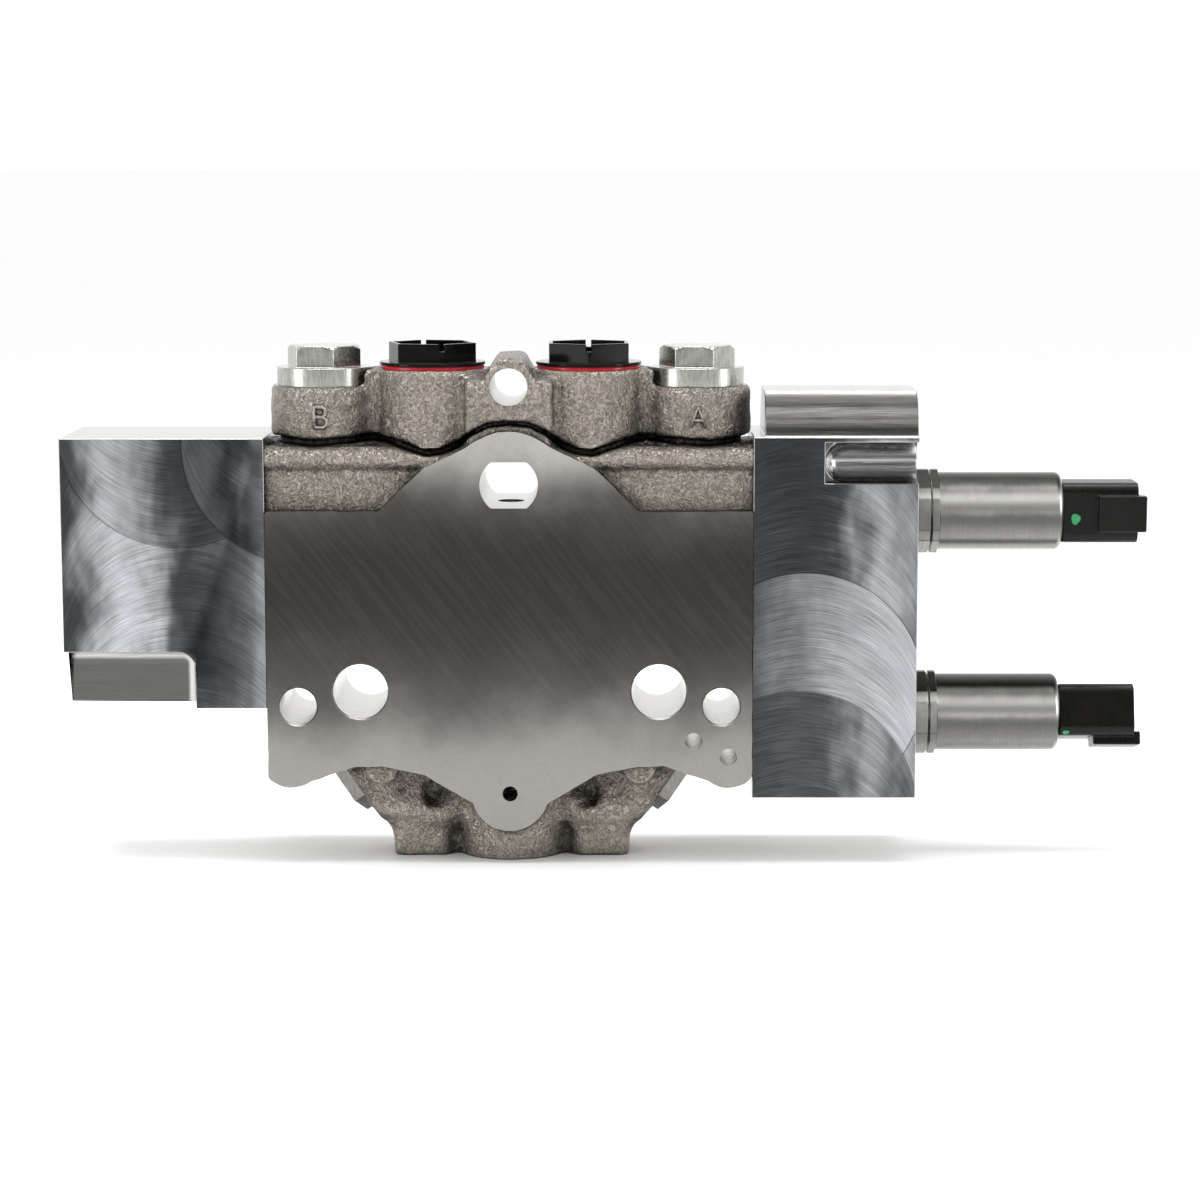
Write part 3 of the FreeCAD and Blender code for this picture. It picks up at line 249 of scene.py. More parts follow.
def make_studio():
    world = bpy.data.worlds.new("studio")
    world.use_nodes = True
    tree = world.node_tree
    tree.nodes["Background"].inputs["Color"].default_value = (1, 1, 1, 1)
    way = tree.nodes.new("ShaderNodeSeparateXYZ")
    tree.links.new(tree.nodes.new("ShaderNodeTexCoord").outputs["Generated"], way.inputs[0])
    levels = []
    for socket, low, high, start, end in SKY_LEVELS:
        level = tree.nodes.new("ShaderNodeMapRange")
        level.interpolation_type = "SMOOTHSTEP"
        tree.links.new(way.outputs[socket], level.inputs["Value"])
        limits = {"From Min": low, "From Max": high, "To Min": start, "To Max": end}
        for name, value in limits.items():
            level.inputs[name].default_value = value
        levels.append(level.outputs[0])
    lit = brighter(tree, *levels)
    # Where the surroundings themselves are seen, they are a plain white backdrop.
    seen = brighter(tree, lit, tree.nodes.new("ShaderNodeLightPath").outputs["Is Camera Ray"])
    tree.links.new(seen, tree.nodes["Background"].inputs["Strength"])
    bpy.context.scene.world = world
    bpy.context.scene.view_settings.view_transform = "Standard"
    bpy.context.scene.view_settings.look = "None"
    shape = bmesh.new()
    bmesh.ops.create_grid(shape, x_segments=8, y_segments=8, size=FLOOR_HALF)
    floor = link_mesh("floor", shape)
    floor.location.z = FOOT_BASE * MM
    floor.data.materials.append(floor_paint())
    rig.stage(floor)
    area_light("top_softbox", (0, 0.05, 0.9), (0, 0.02, 0), (0.8, 0.5), 9)
    area_light("left_softbox", (-0.9, -0.45, 0.25), (-0.05, 0.02, 0), (0.4, 0.9), 3.4)
    area_light("right_softbox", (1.0, -0.35, 0.25), (0.1, 0.02, 0), (0.3, 0.8), 2.6)


# Meshes ------------------------------------------


def link_mesh(name, shape, material=None):
    """Turn a bmesh into an object of the scene."""
    data = bpy.data.meshes.new(name)
    shape.to_mesh(data)
    shape.free()
    if material:
        data.materials.append(material)
    return add_object(name, data)


def hold(item, body, slot, *nodes):
    """Let a piece ride on a body in place of frame nodes, with a slot of the record."""
    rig.ride(item, body)
    if nodes:
        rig.replaces(item, *nodes)
    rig.slot(item, slot)
    return item


def apply_modifiers(item):
    """Replace a piece's mesh by what its modifiers make of it."""
    graph = bpy.context.evaluated_depsgraph_get()
    made = bpy.data.meshes.new_from_object(item.evaluated_get(graph))
    item.modifiers.clear()
    old = item.data
    item.data = made
    bpy.data.meshes.remove(old)


def combine(item, tools, operation="DIFFERENCE"):
    """Boolean a piece with cutting solids, which are used up."""
    for tool in tools:
        step = item.modifiers.new(tool.name, "BOOLEAN")
        step.object = tool
        step.operation = operation
        step.solver = "MANIFOLD"
        step.material_mode = "TRANSFER"
    apply_modifiers(item)
    for tool in tools:
        bpy.data.objects.remove(tool)
    return item


def prism(outline, low, high, axis, name="prism", material=None):
    """A solid with a flat outline, from low to high along an axis.

    The outline's pairs are (y, z) along x, (x, z) along y and (x, y) along z, in millimetres.
    """
    order = {"x": (2, 0, 1), "y": (0, 2, 1), "z": (0, 1, 2)}[axis]
    shape = bmesh.new()
    loops = []
    for height in (low, high):
        loop = []
        for first, second in outline:
            corner = (first, second, height)
            loop.append(shape.verts.new([corner[place] * MM for place in order]))
        loops.append(loop)
    shape.faces.new(loops[0])
    shape.faces.new(loops[1])
    count = len(outline)
    for n in range(count):
        after = (n + 1) % count
        shape.faces.new((loops[0][n], loops[0][after], loops[1][after], loops[1][n]))
    bmesh.ops.recalc_face_normals(shape, faces=shape.faces)
    return link_mesh(name, shape, material)


def circle(radius, centre=(0, 0), steps=72):
    turns = [2 * math.pi * n / steps for n in range(steps)]
    return [(centre[0] + radius * math.cos(a), centre[1] + radius * math.sin(a)) for a in turns]


def drill(radius, start, end, name="drill", material=None, end_radius=None):
    """A round cutting solid between two points in millimetres, conical with an end radius."""
    start, end = Vector(start), Vector(end)
    along = end - start
    shape = bmesh.new()
    turn = along.to_track_quat("Z", "Y").to_matrix().to_4x4()
    bmesh.ops.create_cone(
        shape,
        cap_ends=True,
        segments=72,
        radius1=radius * MM,
        radius2=(radius if end_radius is None else end_radius) * MM,
        depth=along.length * MM,
        matrix=Matrix.Translation((start + end) / 2 * MM) @ turn,
    )
    return link_mesh(name, shape, material)


# Distance fields, from which the casting is made --------

STEP = 0.72  # cell of the casting's distance field


def field_grid(low, high):
    axes = [np.arange(a, b + STEP, STEP, dtype=np.float32) for a, b in zip(low, high)]
    return np.meshgrid(*axes, indexing="ij", sparse=True), [axis[0] for axis in axes]


def blend_min(a, b, soft):
    """Union of two fields with a fillet of about the given size."""
    near = np.clip(0.5 + 0.5 * (b - a) / soft, 0, 1)
    return b + (a - b) * near - soft * near * (1 - near)


def blend_max(a, b, soft):
    return -blend_min(-a, -b, soft)


def round_box(grid, low, high, radius):
    out = 0
    inside = -1e9
    for axis, a, b in zip(grid, low, high):
        reach = np.abs(axis - (a + b) / 2) - (b - a) / 2 + radius
        out = out + np.maximum(reach, 0) ** 2
        inside = np.maximum(inside, reach)
    return np.sqrt(out) + np.minimum(inside, 0) - radius


def rod(grid, start, end, radius, end_radius=None, rounding=0.0):
    """A capped rod between two points, tapered when it has an end radius."""
    start, end = np.array(start, float), np.array(end, float)
    length = np.linalg.norm(end - start)
    way = (end - start) / length
    x, y, z = (axis - centre for axis, centre in zip(grid, start))
    along = x * way[0] + y * way[1] + z * way[2]
    across = np.sqrt(np.maximum(x**2 + y**2 + z**2 - along**2, 0))
    share = np.clip(along / length, 0, 1)
    wide = radius + ((radius if end_radius is None else end_radius) - radius) * share
    side = across - wide + rounding
    cap = np.abs(along - length / 2) - length / 2 + rounding
    out = np.sqrt(np.maximum(side, 0) ** 2 + np.maximum(cap, 0) ** 2)
    return out + np.minimum(np.maximum(side, cap), 0) - rounding


def outline_field(grid, loop):
    """Signed distance in X and Z from a closed outline, the same at every depth."""
    x = grid[0][:, 0, :]
    z = grid[2][0, :, :]
    best = np.full(np.broadcast(x, z).shape, 1e9, np.float32)
    inside = np.zeros(best.shape, bool)
    for (x0, z0), (x1, z1) in zip(loop, loop[1:] + loop[:1]):
        dx, dz = x1 - x0, z1 - z0
        share = np.clip(((x - x0) * dx + (z - z0) * dz) / (dx * dx + dz * dz), 0, 1)
        best = np.minimum(best, (x - x0 - share * dx) ** 2 + (z - z0 - share * dz) ** 2)
        if z0 != z1:
            crossing = x0 + (z - z0) * dx / (z1 - z0)
            inside ^= ((z0 > z) != (z1 > z)) & (x < crossing)
    best = np.sqrt(best)
    return np.where(inside, -best, best)[:, None, :]


def untangle(field):
    """Fill the squares of the grid whose corners lie inside and outside by turns.

    Two sheets of the surface would meet there along one edge, and booleans need a closed one.
    """
    for _ in range(12):
        found = 0
        for u, v in ((0, 1), (1, 2), (0, 2)):
            corners = []
            for du, dv in ((0, 0), (1, 0), (1, 1), (0, 1)):
                part = [slice(None)] * 3
                part[u] = slice(du, field.shape[u] - 1 + du)
                part[v] = slice(dv, field.shape[v] - 1 + dv)
                corners.append(field[tuple(part)])
            a, b, c, d = [corner < 0 for corner in corners]
            crossed = (a == c) & (b == d) & (a != b)
            for corner in corners:
                corner[crossed & (corner >= 0)] = -0.02
            found += crossed.sum()
        if not found:
            break
    return field


def surface_mesh(field, origin, name):
    """Quads along the zero level of a field, one vertex in each cell that the level crosses."""
    field = untangle(field)
    solid = field < 0
    corners = [(i, j, k) for i in (0, 1) for j in (0, 1) for k in (0, 1)]
    shape = [size - 1 for size in field.shape]

    def window(values, corner):
        return values[tuple(slice(c, c + size) for c, size in zip(corner, shape))]

    count = sum(window(solid, corner).astype(np.int8) for corner in corners)
    cells = np.argwhere((count > 0) & (count < 8))
    index = np.full(shape, -1, np.int32)
    index[tuple(cells.T)] = np.arange(len(cells))
    total = np.zeros((len(cells), 3))
    hits = np.zeros(len(cells))
    for n, a in enumerate(corners):
        for b in corners[n + 1:]:
            if sum(abs(p - q) for p, q in zip(a, b)) != 1:
                continue
            va = field[tuple((cells + a).T)]
            vb = field[tuple((cells + b).T)]
            crossed = (va < 0) != (vb < 0)
            share = np.where(crossed, va / np.where(crossed, va - vb, 1), 0)[:, None]
            point = np.array(a) + share * (np.array(b) - np.array(a))
            total += np.where(crossed[:, None], point, 0)
            hits += crossed
    points = (cells + total / hits[:, None]) * STEP + np.array(origin)
    quads = []
    for axis in range(3):
        ahead = [0, 0, 0]
        ahead[axis] = 1
        size = [extent - step for extent, step in zip(field.shape, ahead)]
        here = solid[: size[0], : size[1], : size[2]]
        there = solid[ahead[0]:, ahead[1]:, ahead[2]:]
        edges = np.argwhere(here != there)
        u, v = [(1, 2), (2, 0), (0, 1)][axis]
        edges = edges[(edges[:, u] > 0) & (edges[:, v] > 0)]
        edges = edges[(edges[:, u] < shape[u]) & (edges[:, v] < shape[v])]
        flip = ~solid[tuple(edges.T)]
        back_u = np.zeros(3, int)
        back_u[u] = 1
        back_v = np.zeros(3, int)
        back_v[v] = 1
        ring = [edges - back_u - back_v, edges - back_v, edges, edges - back_u]
        quad = np.stack([index[tuple(cell.T)] for cell in ring], axis=1)
        quad[flip] = quad[flip][:, ::-1]
        quads.append(quad)
    quads = np.concatenate(quads)
    data = bpy.data.meshes.new(name)
    data.vertices.add(len(points))
    data.vertices.foreach_set("co", (points * MM).astype(np.float32).ravel())
    data.loops.add(len(quads) * 4)
    data.loops.foreach_set("vertex_index", quads.astype(np.int32).ravel())
    data.polygons.add(len(quads))
    data.polygons.foreach_set("loop_start", np.arange(0, len(quads) * 4, 4, dtype=np.int32))
    data.update(calc_edges=True)
    data.materials.append(paint_for("cast_iron"))
    return add_object(name, data)


# Materials ---------------------------------------


class Paint:
    """A node material with helpers that add and link its nodes."""

    def __init__(self, name):
        self.made = bpy.data.materials.new(name)
        self.made.use_nodes = True
        self.tree = self.made.node_tree
        self.shader = self.tree.nodes["Principled BSDF"]
        self.where = self.tree.nodes.new("ShaderNodeTexCoord").outputs["Object"]

    def plain(self, **values):
        """Constants set on the shader's own sockets."""
        for name, value in values.items():
            self.shader.inputs[name.replace("_", " ")].default_value = value
        return self

    def add(self, kind, links=(), **values):
        node = self.tree.nodes.new(kind)
        for name, value in values.items():
            setattr(node, name, value)
        for socket, source in dict(links).items():
            if isinstance(source, bpy.types.NodeSocket):
                self.tree.links.new(source, node.inputs[socket])
            else:
                node.inputs[socket].default_value = source
        return node

    def math(self, operation, first, second=0.0, third=0.0):
        """One sum of up to three numbers or sockets."""
        links = {0: first, 1: second, 2: third}
        return self.add("ShaderNodeMath", links, operation=operation).outputs[0]

    def times(self, first, second):
        return self.math("MULTIPLY", first, second)

    def parts(self):
        """X, Y and Z of the place, in millimetres."""
        scaled = self.add("ShaderNodeVectorMath", {0: self.where, "Scale": 1 / MM}, operation="SCALE")
        return self.add("ShaderNodeSeparateXYZ", {0: scaled.outputs[0]}).outputs

    def vector(self, x, y, z):
        return self.add("ShaderNodeCombineXYZ", {0: x, 1: y, 2: z}).outputs[0]

    def stretched(self, size, turn):
        """The place divided by a size in millimetres along each axis, after a turn in degrees."""
        turned = self.add(
            "ShaderNodeMapping", {"Vector": self.where, "Rotation": [math.radians(a) for a in turn]}
        )
        scale = [1 / (MM * s) for s in size]
        links = {0: turned.outputs[0], 1: scale}
        return self.add("ShaderNodeVectorMath", links, operation="MULTIPLY").outputs[0]

    def noise(self, place, detail=3.0, rough=0.55, distortion=0.0):
        links = {
            "Vector": place, "Scale": 1.0, "Detail": detail, "Roughness": rough, "Distortion": distortion
        }
        return self.add("ShaderNodeTexNoise", links).outputs["Fac"]

    def grain(self, size, detail=3.0, rough=0.55, distortion=0.0, turn=(0, 0, 0)):
        """Noise whose spots have the given size in millimetres along each axis."""
        return self.noise(self.stretched(size, turn), detail, rough, distortion)

    def scaled(self, colour, factor):
        """A colour made lighter or darker by a factor."""
        links = {0: colour, "Scale": factor}
        return self.add("ShaderNodeVectorMath", links, operation="SCALE").outputs[0]

    def faces(self):
        """X, Y and Z of the way the surface faces."""
        way = self.add("ShaderNodeNewGeometry").outputs["Normal"]
        return self.add("ShaderNodeSeparateXYZ", {0: way}).outputs

    def ramp(self, value, low, high, start, end):
        """Map a value from low..high to start..end, held at both ends."""
        links = {"Value": value, "From Min": low, "From Max": high, "To Min": start, "To Max": end}
        return self.add("ShaderNodeMapRange", links, clamp=True).outputs[0]

    def mix(self, share, first, second):
        """Mix two colours, each a colour or a socket."""
        node = self.add("ShaderNodeMix", {0: share}, data_type="RGBA")
        for socket, colour in ((node.inputs[6], first), (node.inputs[7], second)):
            if isinstance(colour, bpy.types.NodeSocket):
                self.tree.links.new(colour, socket)
            else:
                socket.default_value = (*colour, 1)
        return node.outputs[2]

    def levels(self, value, stops, tint=(0.95, 0.985, 1.03)):
        """A smooth colour ramp over a stretch of values, from (value, level) pairs."""
        low, high = stops[0][0], stops[-1][0]
        node = self.add("ShaderNodeValToRGB", {0: self.ramp(value, low, high, 0, 1)})
        node.color_ramp.interpolation = "B_SPLINE"
        marks = node.color_ramp.elements
        for place, level in stops[1:-1]:
            marks.new((place - low) / (high - low))
        for mark, (place, level) in zip(marks, stops):
            mark.color = (*[level * part for part in tint], 1)
        return node.outputs[0]

    def use(self, colour=None, rough=None, bumps=()):
        """Drive colour and roughness, and stack bumps given as (height, distance in mm, strength)."""
        if colour is not None:
            self.tree.links.new(colour, self.shader.inputs["Base Color"])
        if rough is not None:
            self.tree.links.new(rough, self.shader.inputs["Roughness"])
        normal = None
        for height, distance, strength in bumps:
            links = {"Height": height, "Distance": distance * MM, "Strength": strength}
            if normal is not None:
                links["Normal"] = normal
            normal = self.add("ShaderNodeBump", links).outputs[0]
        if normal is not None:
            self.tree.links.new(normal, self.shader.inputs["Normal"])
        return self.made


def floor_paint():
    paint = Paint("floor")
    paint.plain(Roughness=0.6)
    tone = paint.grain((300, 300, 300))
    return paint.use(colour=paint.mix(tone, (0.98, 0.98, 0.98), (0.995, 0.995, 0.995)))


def cast_iron():
    """As-cast iron: winding grains and painted glints over broad stains, painted shade in corners,
    on the tops and underneath, painted highlights on sharp edges and painted light on the foot."""
    paint = Paint("cast_iron")
    paint.plain(Metallic=0.95)
    worms = paint.grain((1.35, 1.35, 1.6), 2.0, 0.55, 1.8)
    grain = paint.grain((0.45, 0.45, 0.45), 2.0, 0.6, 0.5)
    swell = paint.grain((4.2, 4.2, 4.2), 3.0, 0.55)
    stain = paint.grain((14, 14, 14), 4.0, 0.6)
    dark = paint.mix(stain, (0.165, 0.146, 0.126), (0.235, 0.210, 0.182))
    ridges = paint.ramp(worms, 0.40, 0.62, 0, 1)
    body = paint.mix(ridges, dark, (0.37, 0.334, 0.291))
    # Painted glints: bright flecks on the ridges of the grain.
    glint = paint.times(paint.ramp(grain, 0.56, 0.70, 0, 1), ridges)
    lit = paint.mix(paint.times(glint, 0.5), body, (0.74, 0.69, 0.63))
    # Painted light on the foot: the colour is scaled up and lightened towards the bottom.
    low = paint.ramp(paint.parts()[2], -84, -70, 1, 0)
    lift = paint.math("MULTIPLY_ADD", low, 0.7, 1.0)
    base = paint.mix(paint.times(low, 0.15), paint.scaled(lit, lift), (0.72, 0.67, 0.60))
    open_sky = paint.add("ShaderNodeAmbientOcclusion", {"Distance": 16 * MM}, samples=8).outputs["AO"]
    sharpness = paint.add("ShaderNodeNewGeometry").outputs["Pointiness"]
    up = paint.faces()[2]
    # Painted shade: upward faces and downward faces are darkened.
    top = paint.ramp(up, 0.15, 0.85, 1, 0.52)
    facing = paint.times(top, paint.ramp(up, -0.6, -0.1, 0.62, 1))
    # Painted highlight on sharp edges.
    edged = paint.mix(paint.ramp(sharpness, 0.515, 0.58, 0, 0.40), base, (0.66, 0.62, 0.56))
    # Painted shade in corners, hollows and creases, from occlusion and concavity.
    corners = paint.ramp(open_sky, 0.30, 0.88, 0.26, 1.10)
    shade = paint.times(corners, paint.ramp(sharpness, 0.42, 0.49, 0.55, 1))
    colour = paint.scaled(edged, paint.times(shade, facing))
    rough = paint.ramp(grain, 0.3, 0.7, 0.44, 0.27)
    return paint.use(colour, rough, [(swell, 1.2, 0.8), (worms, 0.8, 1.0), (grain, 0.14, 0.9)])


# Painted reflection on the ground faces up the housing, darkest at mid-height, as (height, level) pairs.
GRIND_TONES = [
    (-80, .31), (-66, .31), (-57, .30), (-51, .27), (-45, .18), (-39, .115), (-33, .082), (-21, .052),
    (-8, .042), (4, .042), (10, .053), (16, .072), (20, .10), (24, .15), (28, .24), (32, .38), (36, .56),
    (44, .62), (66, .62),
]


def ground_iron():
    """A ground face: fine crossed scratches at a slant over a grey metal with a painted reflection, darkest at
    mid-height.
    """
    paint = Paint("ground_iron")
    paint.plain(Metallic=1.0)
    fine = paint.grain((0.11, 1, 3.2), 2.0, 0.6, turn=(0, 38, 0))
    cross = paint.grain((0.13, 1, 3.6), 2.0, 0.6, turn=(0, -47, 0))
    broad = paint.grain((1.6, 30, 34.0), 2.0, 0.5, turn=(0, 38, 0))
    cloud = paint.grain((30, 30, 30), 3.0, 0.55)
    marks = paint.math("ADD", paint.times(fine, 0.6), paint.times(cross, 0.4))
    # Painted reflection: the tone follows height, darkest about mid-height.
    drift = paint.math("ADD", paint.parts()[2], paint.ramp(cloud, 0.3, 0.7, -5, 5))
    tone = paint.levels(drift, GRIND_TONES, (1.0, 0.965, 0.90))
    base = paint.scaled(tone, paint.ramp(marks, 0.32, 0.68, 0.86, 1.16))
    colour = paint.mix(paint.ramp(broad, 0.42, 0.62, 0, 0.035), base, (0.30, 0.29, 0.27))
    rough = paint.ramp(marks, 0.35, 0.65, 0.40, 0.30)
    return paint.use(colour, rough, [(marks, 0.010, 0.5)])


def bored_steel():
    """Walls of drilled and bored holes: bright turned rings."""
    paint = Paint("bored_steel")
    paint.plain(Metallic=1.0)
    rings = paint.grain((20, 0.35, 20), 2.0)
    colour = paint.mix(rings, (0.42, 0.41, 0.39), (0.70, 0.69, 0.66))
    return paint.use(colour, paint.ramp(rings, 0.3, 0.7, 0.22, 0.36), [(rings, 0.02, 0.3)])


def brushed(name, dark, light, grain, rough, depth=0.01, wear=0.25):
    """A metal with fine lines, long where its grain's sizes in millimetres are large."""
    paint = Paint(name)
    paint.plain(Metallic=1.0)
    lines = paint.grain(grain, 3.0, 0.6)
    cloud = paint.grain((7, 7, 7), 3.0, 0.6)
    scuffs = paint.grain((1.1, 1.1, 1.1), 4.0, 0.7, 0.6)
    body = paint.mix(paint.ramp(lines, 0.32, 0.68, 0, 1), dark, light)
    toned = paint.mix(paint.ramp(cloud, 0.4, 0.7, 0, wear), body, [c * 0.72 for c in dark])
    colour = paint.mix(paint.ramp(scuffs, 0.60, 0.78, 0, wear), toned, [min(c * 1.25, 0.9) for c in light])
    blur = paint.ramp(scuffs, 0.3, 0.7, rough - 0.05, rough + 0.06)
    return paint.use(colour, blur, [(lines, depth, 0.3), (scuffs, 0.006, 0.1)])


# Painted reflection on the plated cartridges round their sides, as (how far up a surface faces, level) pairs.
CAN_TONES = [
    (-1, .20), (-.83, .22), (-.73, .34), (-.64, .32), (-.55, .23), (-.46, .18), (-.37, .155),
    (-.29, .12), (-.2, .10), (-.12, .10), (-.04, .12), (.035, .27), (.11, .66), (.19, .96), (.27, 1),
    (.345, 1), (.42, .78), (.5, .47), (.57, .22), (.64, .10), (.706, .045), (.78, .016), (.843, .016),
    (.91, .035), (1, .06),
]


def nickel_steel():
    """Turned and plated steel: fine lines round the can, over soft lengthwise bands of painted reflection."""
    paint = Paint("nickel_steel")
    paint.plain(Metallic=1.0)
    lines = paint.grain((0.16, 9, 9), 3.0, 0.6)
    cloud = paint.grain((7, 7, 7), 3.0, 0.6)
    # Painted reflection: the tone follows how far up the surface faces.
    up = paint.math("ADD", paint.faces()[2], paint.ramp(cloud, 0.3, 0.7, -0.02, 0.02))
    tone = paint.levels(up, CAN_TONES, (1.0, 0.985, 0.93))
    colour = paint.scaled(tone, paint.ramp(lines, 0.30, 0.70, 0.88, 1.12))
    return paint.use(colour, paint.ramp(lines, 0.3, 0.7, 0.34, 0.27), [(lines, 0.006, 0.3)])


# Brushed metals by name: dark and light tones, grain sizes, roughness, depth and wear.
BRUSHED = {
    "zinc_steel": ((0.38, 0.39, 0.355), (0.60, 0.61, 0.56), (0.5, 0.5, 3.5), 0.24, 0.02, 0.4),
    "dull_zinc": ((0.17, 0.165, 0.15), (0.30, 0.29, 0.265), (0.5, 0.5, 3.5), 0.3, 0.02, 0.3),
    "ground_steel": ((0.50, 0.50, 0.49), (0.66, 0.65, 0.63), (0.2, 8, 8), 0.20),
    "spring_steel": ((0.26, 0.25, 0.23), (0.46, 0.44, 0.40), (0.6, 0.6, 0.6), 0.32),
    "tinned_pin": ((0.60, 0.59, 0.56), (0.78, 0.77, 0.74), (1.5, 0.2, 0.2), 0.28),
    "black_oxide": ((0.022, 0.022, 0.024), (0.055, 0.053, 0.052), (0.5, 0.5, 0.5), 0.38),
}


def copper():
    """Wound wire: fine turns side by side along the coil's axis."""
    paint = Paint("copper")
    paint.plain(Metallic=1.0, Roughness=0.3)
    x = paint.parts()[0]
    turns = paint.math("PINGPONG", x, 0.22)
    height = paint.ramp(turns, 0, 0.22, 0, 1)
    shade = paint.grain((3, 3, 3))
    body = paint.mix(shade, (0.62, 0.22, 0.09), (0.78, 0.33, 0.15))
    # Painted shade in the creases between the turns of wire.
    colour = paint.mix(height, (0.16, 0.05, 0.02), body)
    return paint.use(colour, None, [(height, 0.15, 0.8)])


def moulded(name, dark, light, rough, grain=0.35, depth=0.03, shine=0.5):
    """A moulded plastic or rubber: a fine skin, soft sinks and light rubbed spots."""
    paint = Paint(name)
    skin = paint.grain((grain, grain, grain), 3.0, 0.6)
    sinks = paint.grain((6, 6, 6), 2.0, 0.5)
    rubs = paint.grain((0.9, 0.9, 2.2), 4.0, 0.7, 0.8)
    body = paint.mix(sinks, dark, light)
    colour = paint.mix(paint.ramp(rubs, 0.62, 0.80, 0, 0.35), body, [min(c * 2.2, 0.9) for c in light])
    blur = paint.ramp(rubs, 0.35, 0.75, rough - 0.05, rough + 0.10)
    paint.plain(**{"Specular_IOR_Level": shine})
    return paint.use(colour, blur, [(skin, depth, 0.5), (sinks, 0.10, 0.15)])


# Moulded parts by name: dark and light tones, roughness, grain size, depth of the skin and shine.
MOULDED = {
    "gloss_black": ((0.003, 0.003, 0.003), (0.006, 0.006, 0.006), 0.12, 1.6, 0.02, 0.12),
    "connector_black": ((0.004, 0.004, 0.0035), (0.011, 0.010, 0.009), 0.30, 0.30, 0.05, 0.19),
    "bobbin_plastic": ((0.50, 0.46, 0.36), (0.60, 0.56, 0.46), 0.42),
    "red_seal": ((0.50, 0.012, 0.016), (0.66, 0.026, 0.030), 0.22, 0.9, 0.03),
    "black_seal": ((0.012, 0.012, 0.012), (0.026, 0.026, 0.026), 0.48, 0.25, 0.03),
    "paint_dot": ((0.015, 0.26, 0.09), (0.03, 0.42, 0.16), 0.34, 0.5, 0.04),
}


# Face-mill passes on each cover, from the first to the last: the cutter's centre, the side of
# its path that shows, and the painted reflection across the cover as (place along X, level) pairs.
# A pass without a stopping disc covers the whole face.
MILL_RADIUS = 35.5
LEFT_PASSES = [
    ((-99, None), 1, [
        (-134, .05), (-130, .07), (-124, .36), (-115, .62), (-107, .36), (-101, .06), (-95, .05),
        (-88, .08), (-79, .15), (-73, .30),
    ]),
    ((-99, 43), -1, [
        (-134, .06), (-129, .15), (-124, .52), (-117, .48), (-108, .22), (-101, .055), (-92, .045),
        (-85, .06), (-79, .10), (-73, .14),
    ]),
    ((-62, 38), -1, [(-95, .12), (-88, .07), (-84, .035), (-79, .05), (-73, .20)]),
]
RIGHT_PASSES = [
    ((89, None), 1, [
        (73, .06), (85, .045), (96, .05), (103, .13), (109, .40), (115, .42), (122, .16),
    ]),
    ((89, -35.5), 1, [(73, .08), (80, .13), (90, .24), (100, .34), (110, .42), (122, .46)]),
    ((87, -71.5), 1, [
        (73, .05), (84, .085), (95, .06), (101, .14), (108, .34), (116, .18), (122, .08),
    ]),
]

# Turned bands up the crown of the right cover, whose levels are painted reflection, as (height, level) pairs.
CROWN_SHOULDER = 40.7
CROWN_BANDS = [
    (40.7, .34), (41.6, .46), (42.6, .12), (43.4, .28), (44.6, .40), (45.4, .34), (45.9, .14),
    (46.6, .30), (47.6, .30), (48.6, .22), (49.4, .05), (50.4, .035), (51.4, .025), (52.2, .03),
    (53.0, .09), (54.0, .5),
]

# The milled channel at the right cover's outer end: where it lies, and its bands of painted reflection up its height.
CHANNEL_START = 97
CHANNEL_LOW = 26.6
CHANNEL_HIGH = 38.7
CHANNEL_BANDS = [
    (CHANNEL_LOW, .10), (27.4, .07), (29.4, .09), (30.6, .30), (31.4, .75), (32.4, .9), (33.1, .30),
    (33.7, .06), (34.6, .10), (35.4, .60), (36.6, .85), (37.8, .70), (CHANNEL_HIGH, .35),
]


def mill_pass(paint, x, z, centre, side, stops):
    """Colour and line height of one pass: arcs of the cutter's rim along its upright path, with painted reflection
    levels across X and painted glints.
    """
    aside = paint.math("SUBTRACT", x, centre)
    squared = paint.times(aside, aside)
    left = paint.math("MAXIMUM", paint.math("SUBTRACT", MILL_RADIUS**2, squared), 1.0)
    rise = paint.math("SQRT", left)
    height = paint.math("SUBTRACT", z, paint.times(rise, side))
    along = paint.times(aside, 0.07)
    fine = paint.noise(paint.vector(along, paint.times(height, 3.4), 3.0), 3, 0.7)
    broad = paint.noise(paint.vector(along, paint.times(height, 0.42), 9.0), 2)
    slow = paint.vector(paint.times(x, 0.11), paint.times(z, 0.05), 5.0)
    wander = paint.noise(slow, 2)
    drift = paint.math("ADD", x, paint.ramp(wander, 0.25, 0.75, -6, 6))
    # Painted reflection: bright and dark zones across the cover, by place along X.
    level = paint.levels(drift, stops)
    strong = paint.ramp(fine, 0.34, 0.66, 0.66, 1.38)
    lines = paint.times(strong, paint.ramp(broad, 0.3, 0.7, 0.86, 1.14))
    # Painted glints on the fine cutter lines.
    glints = paint.ramp(fine, 0.66, 0.74, 0, 0.22)
    return paint.mix(glints, paint.scaled(level, lines), (0.42, 0.44, 0.46)), fine


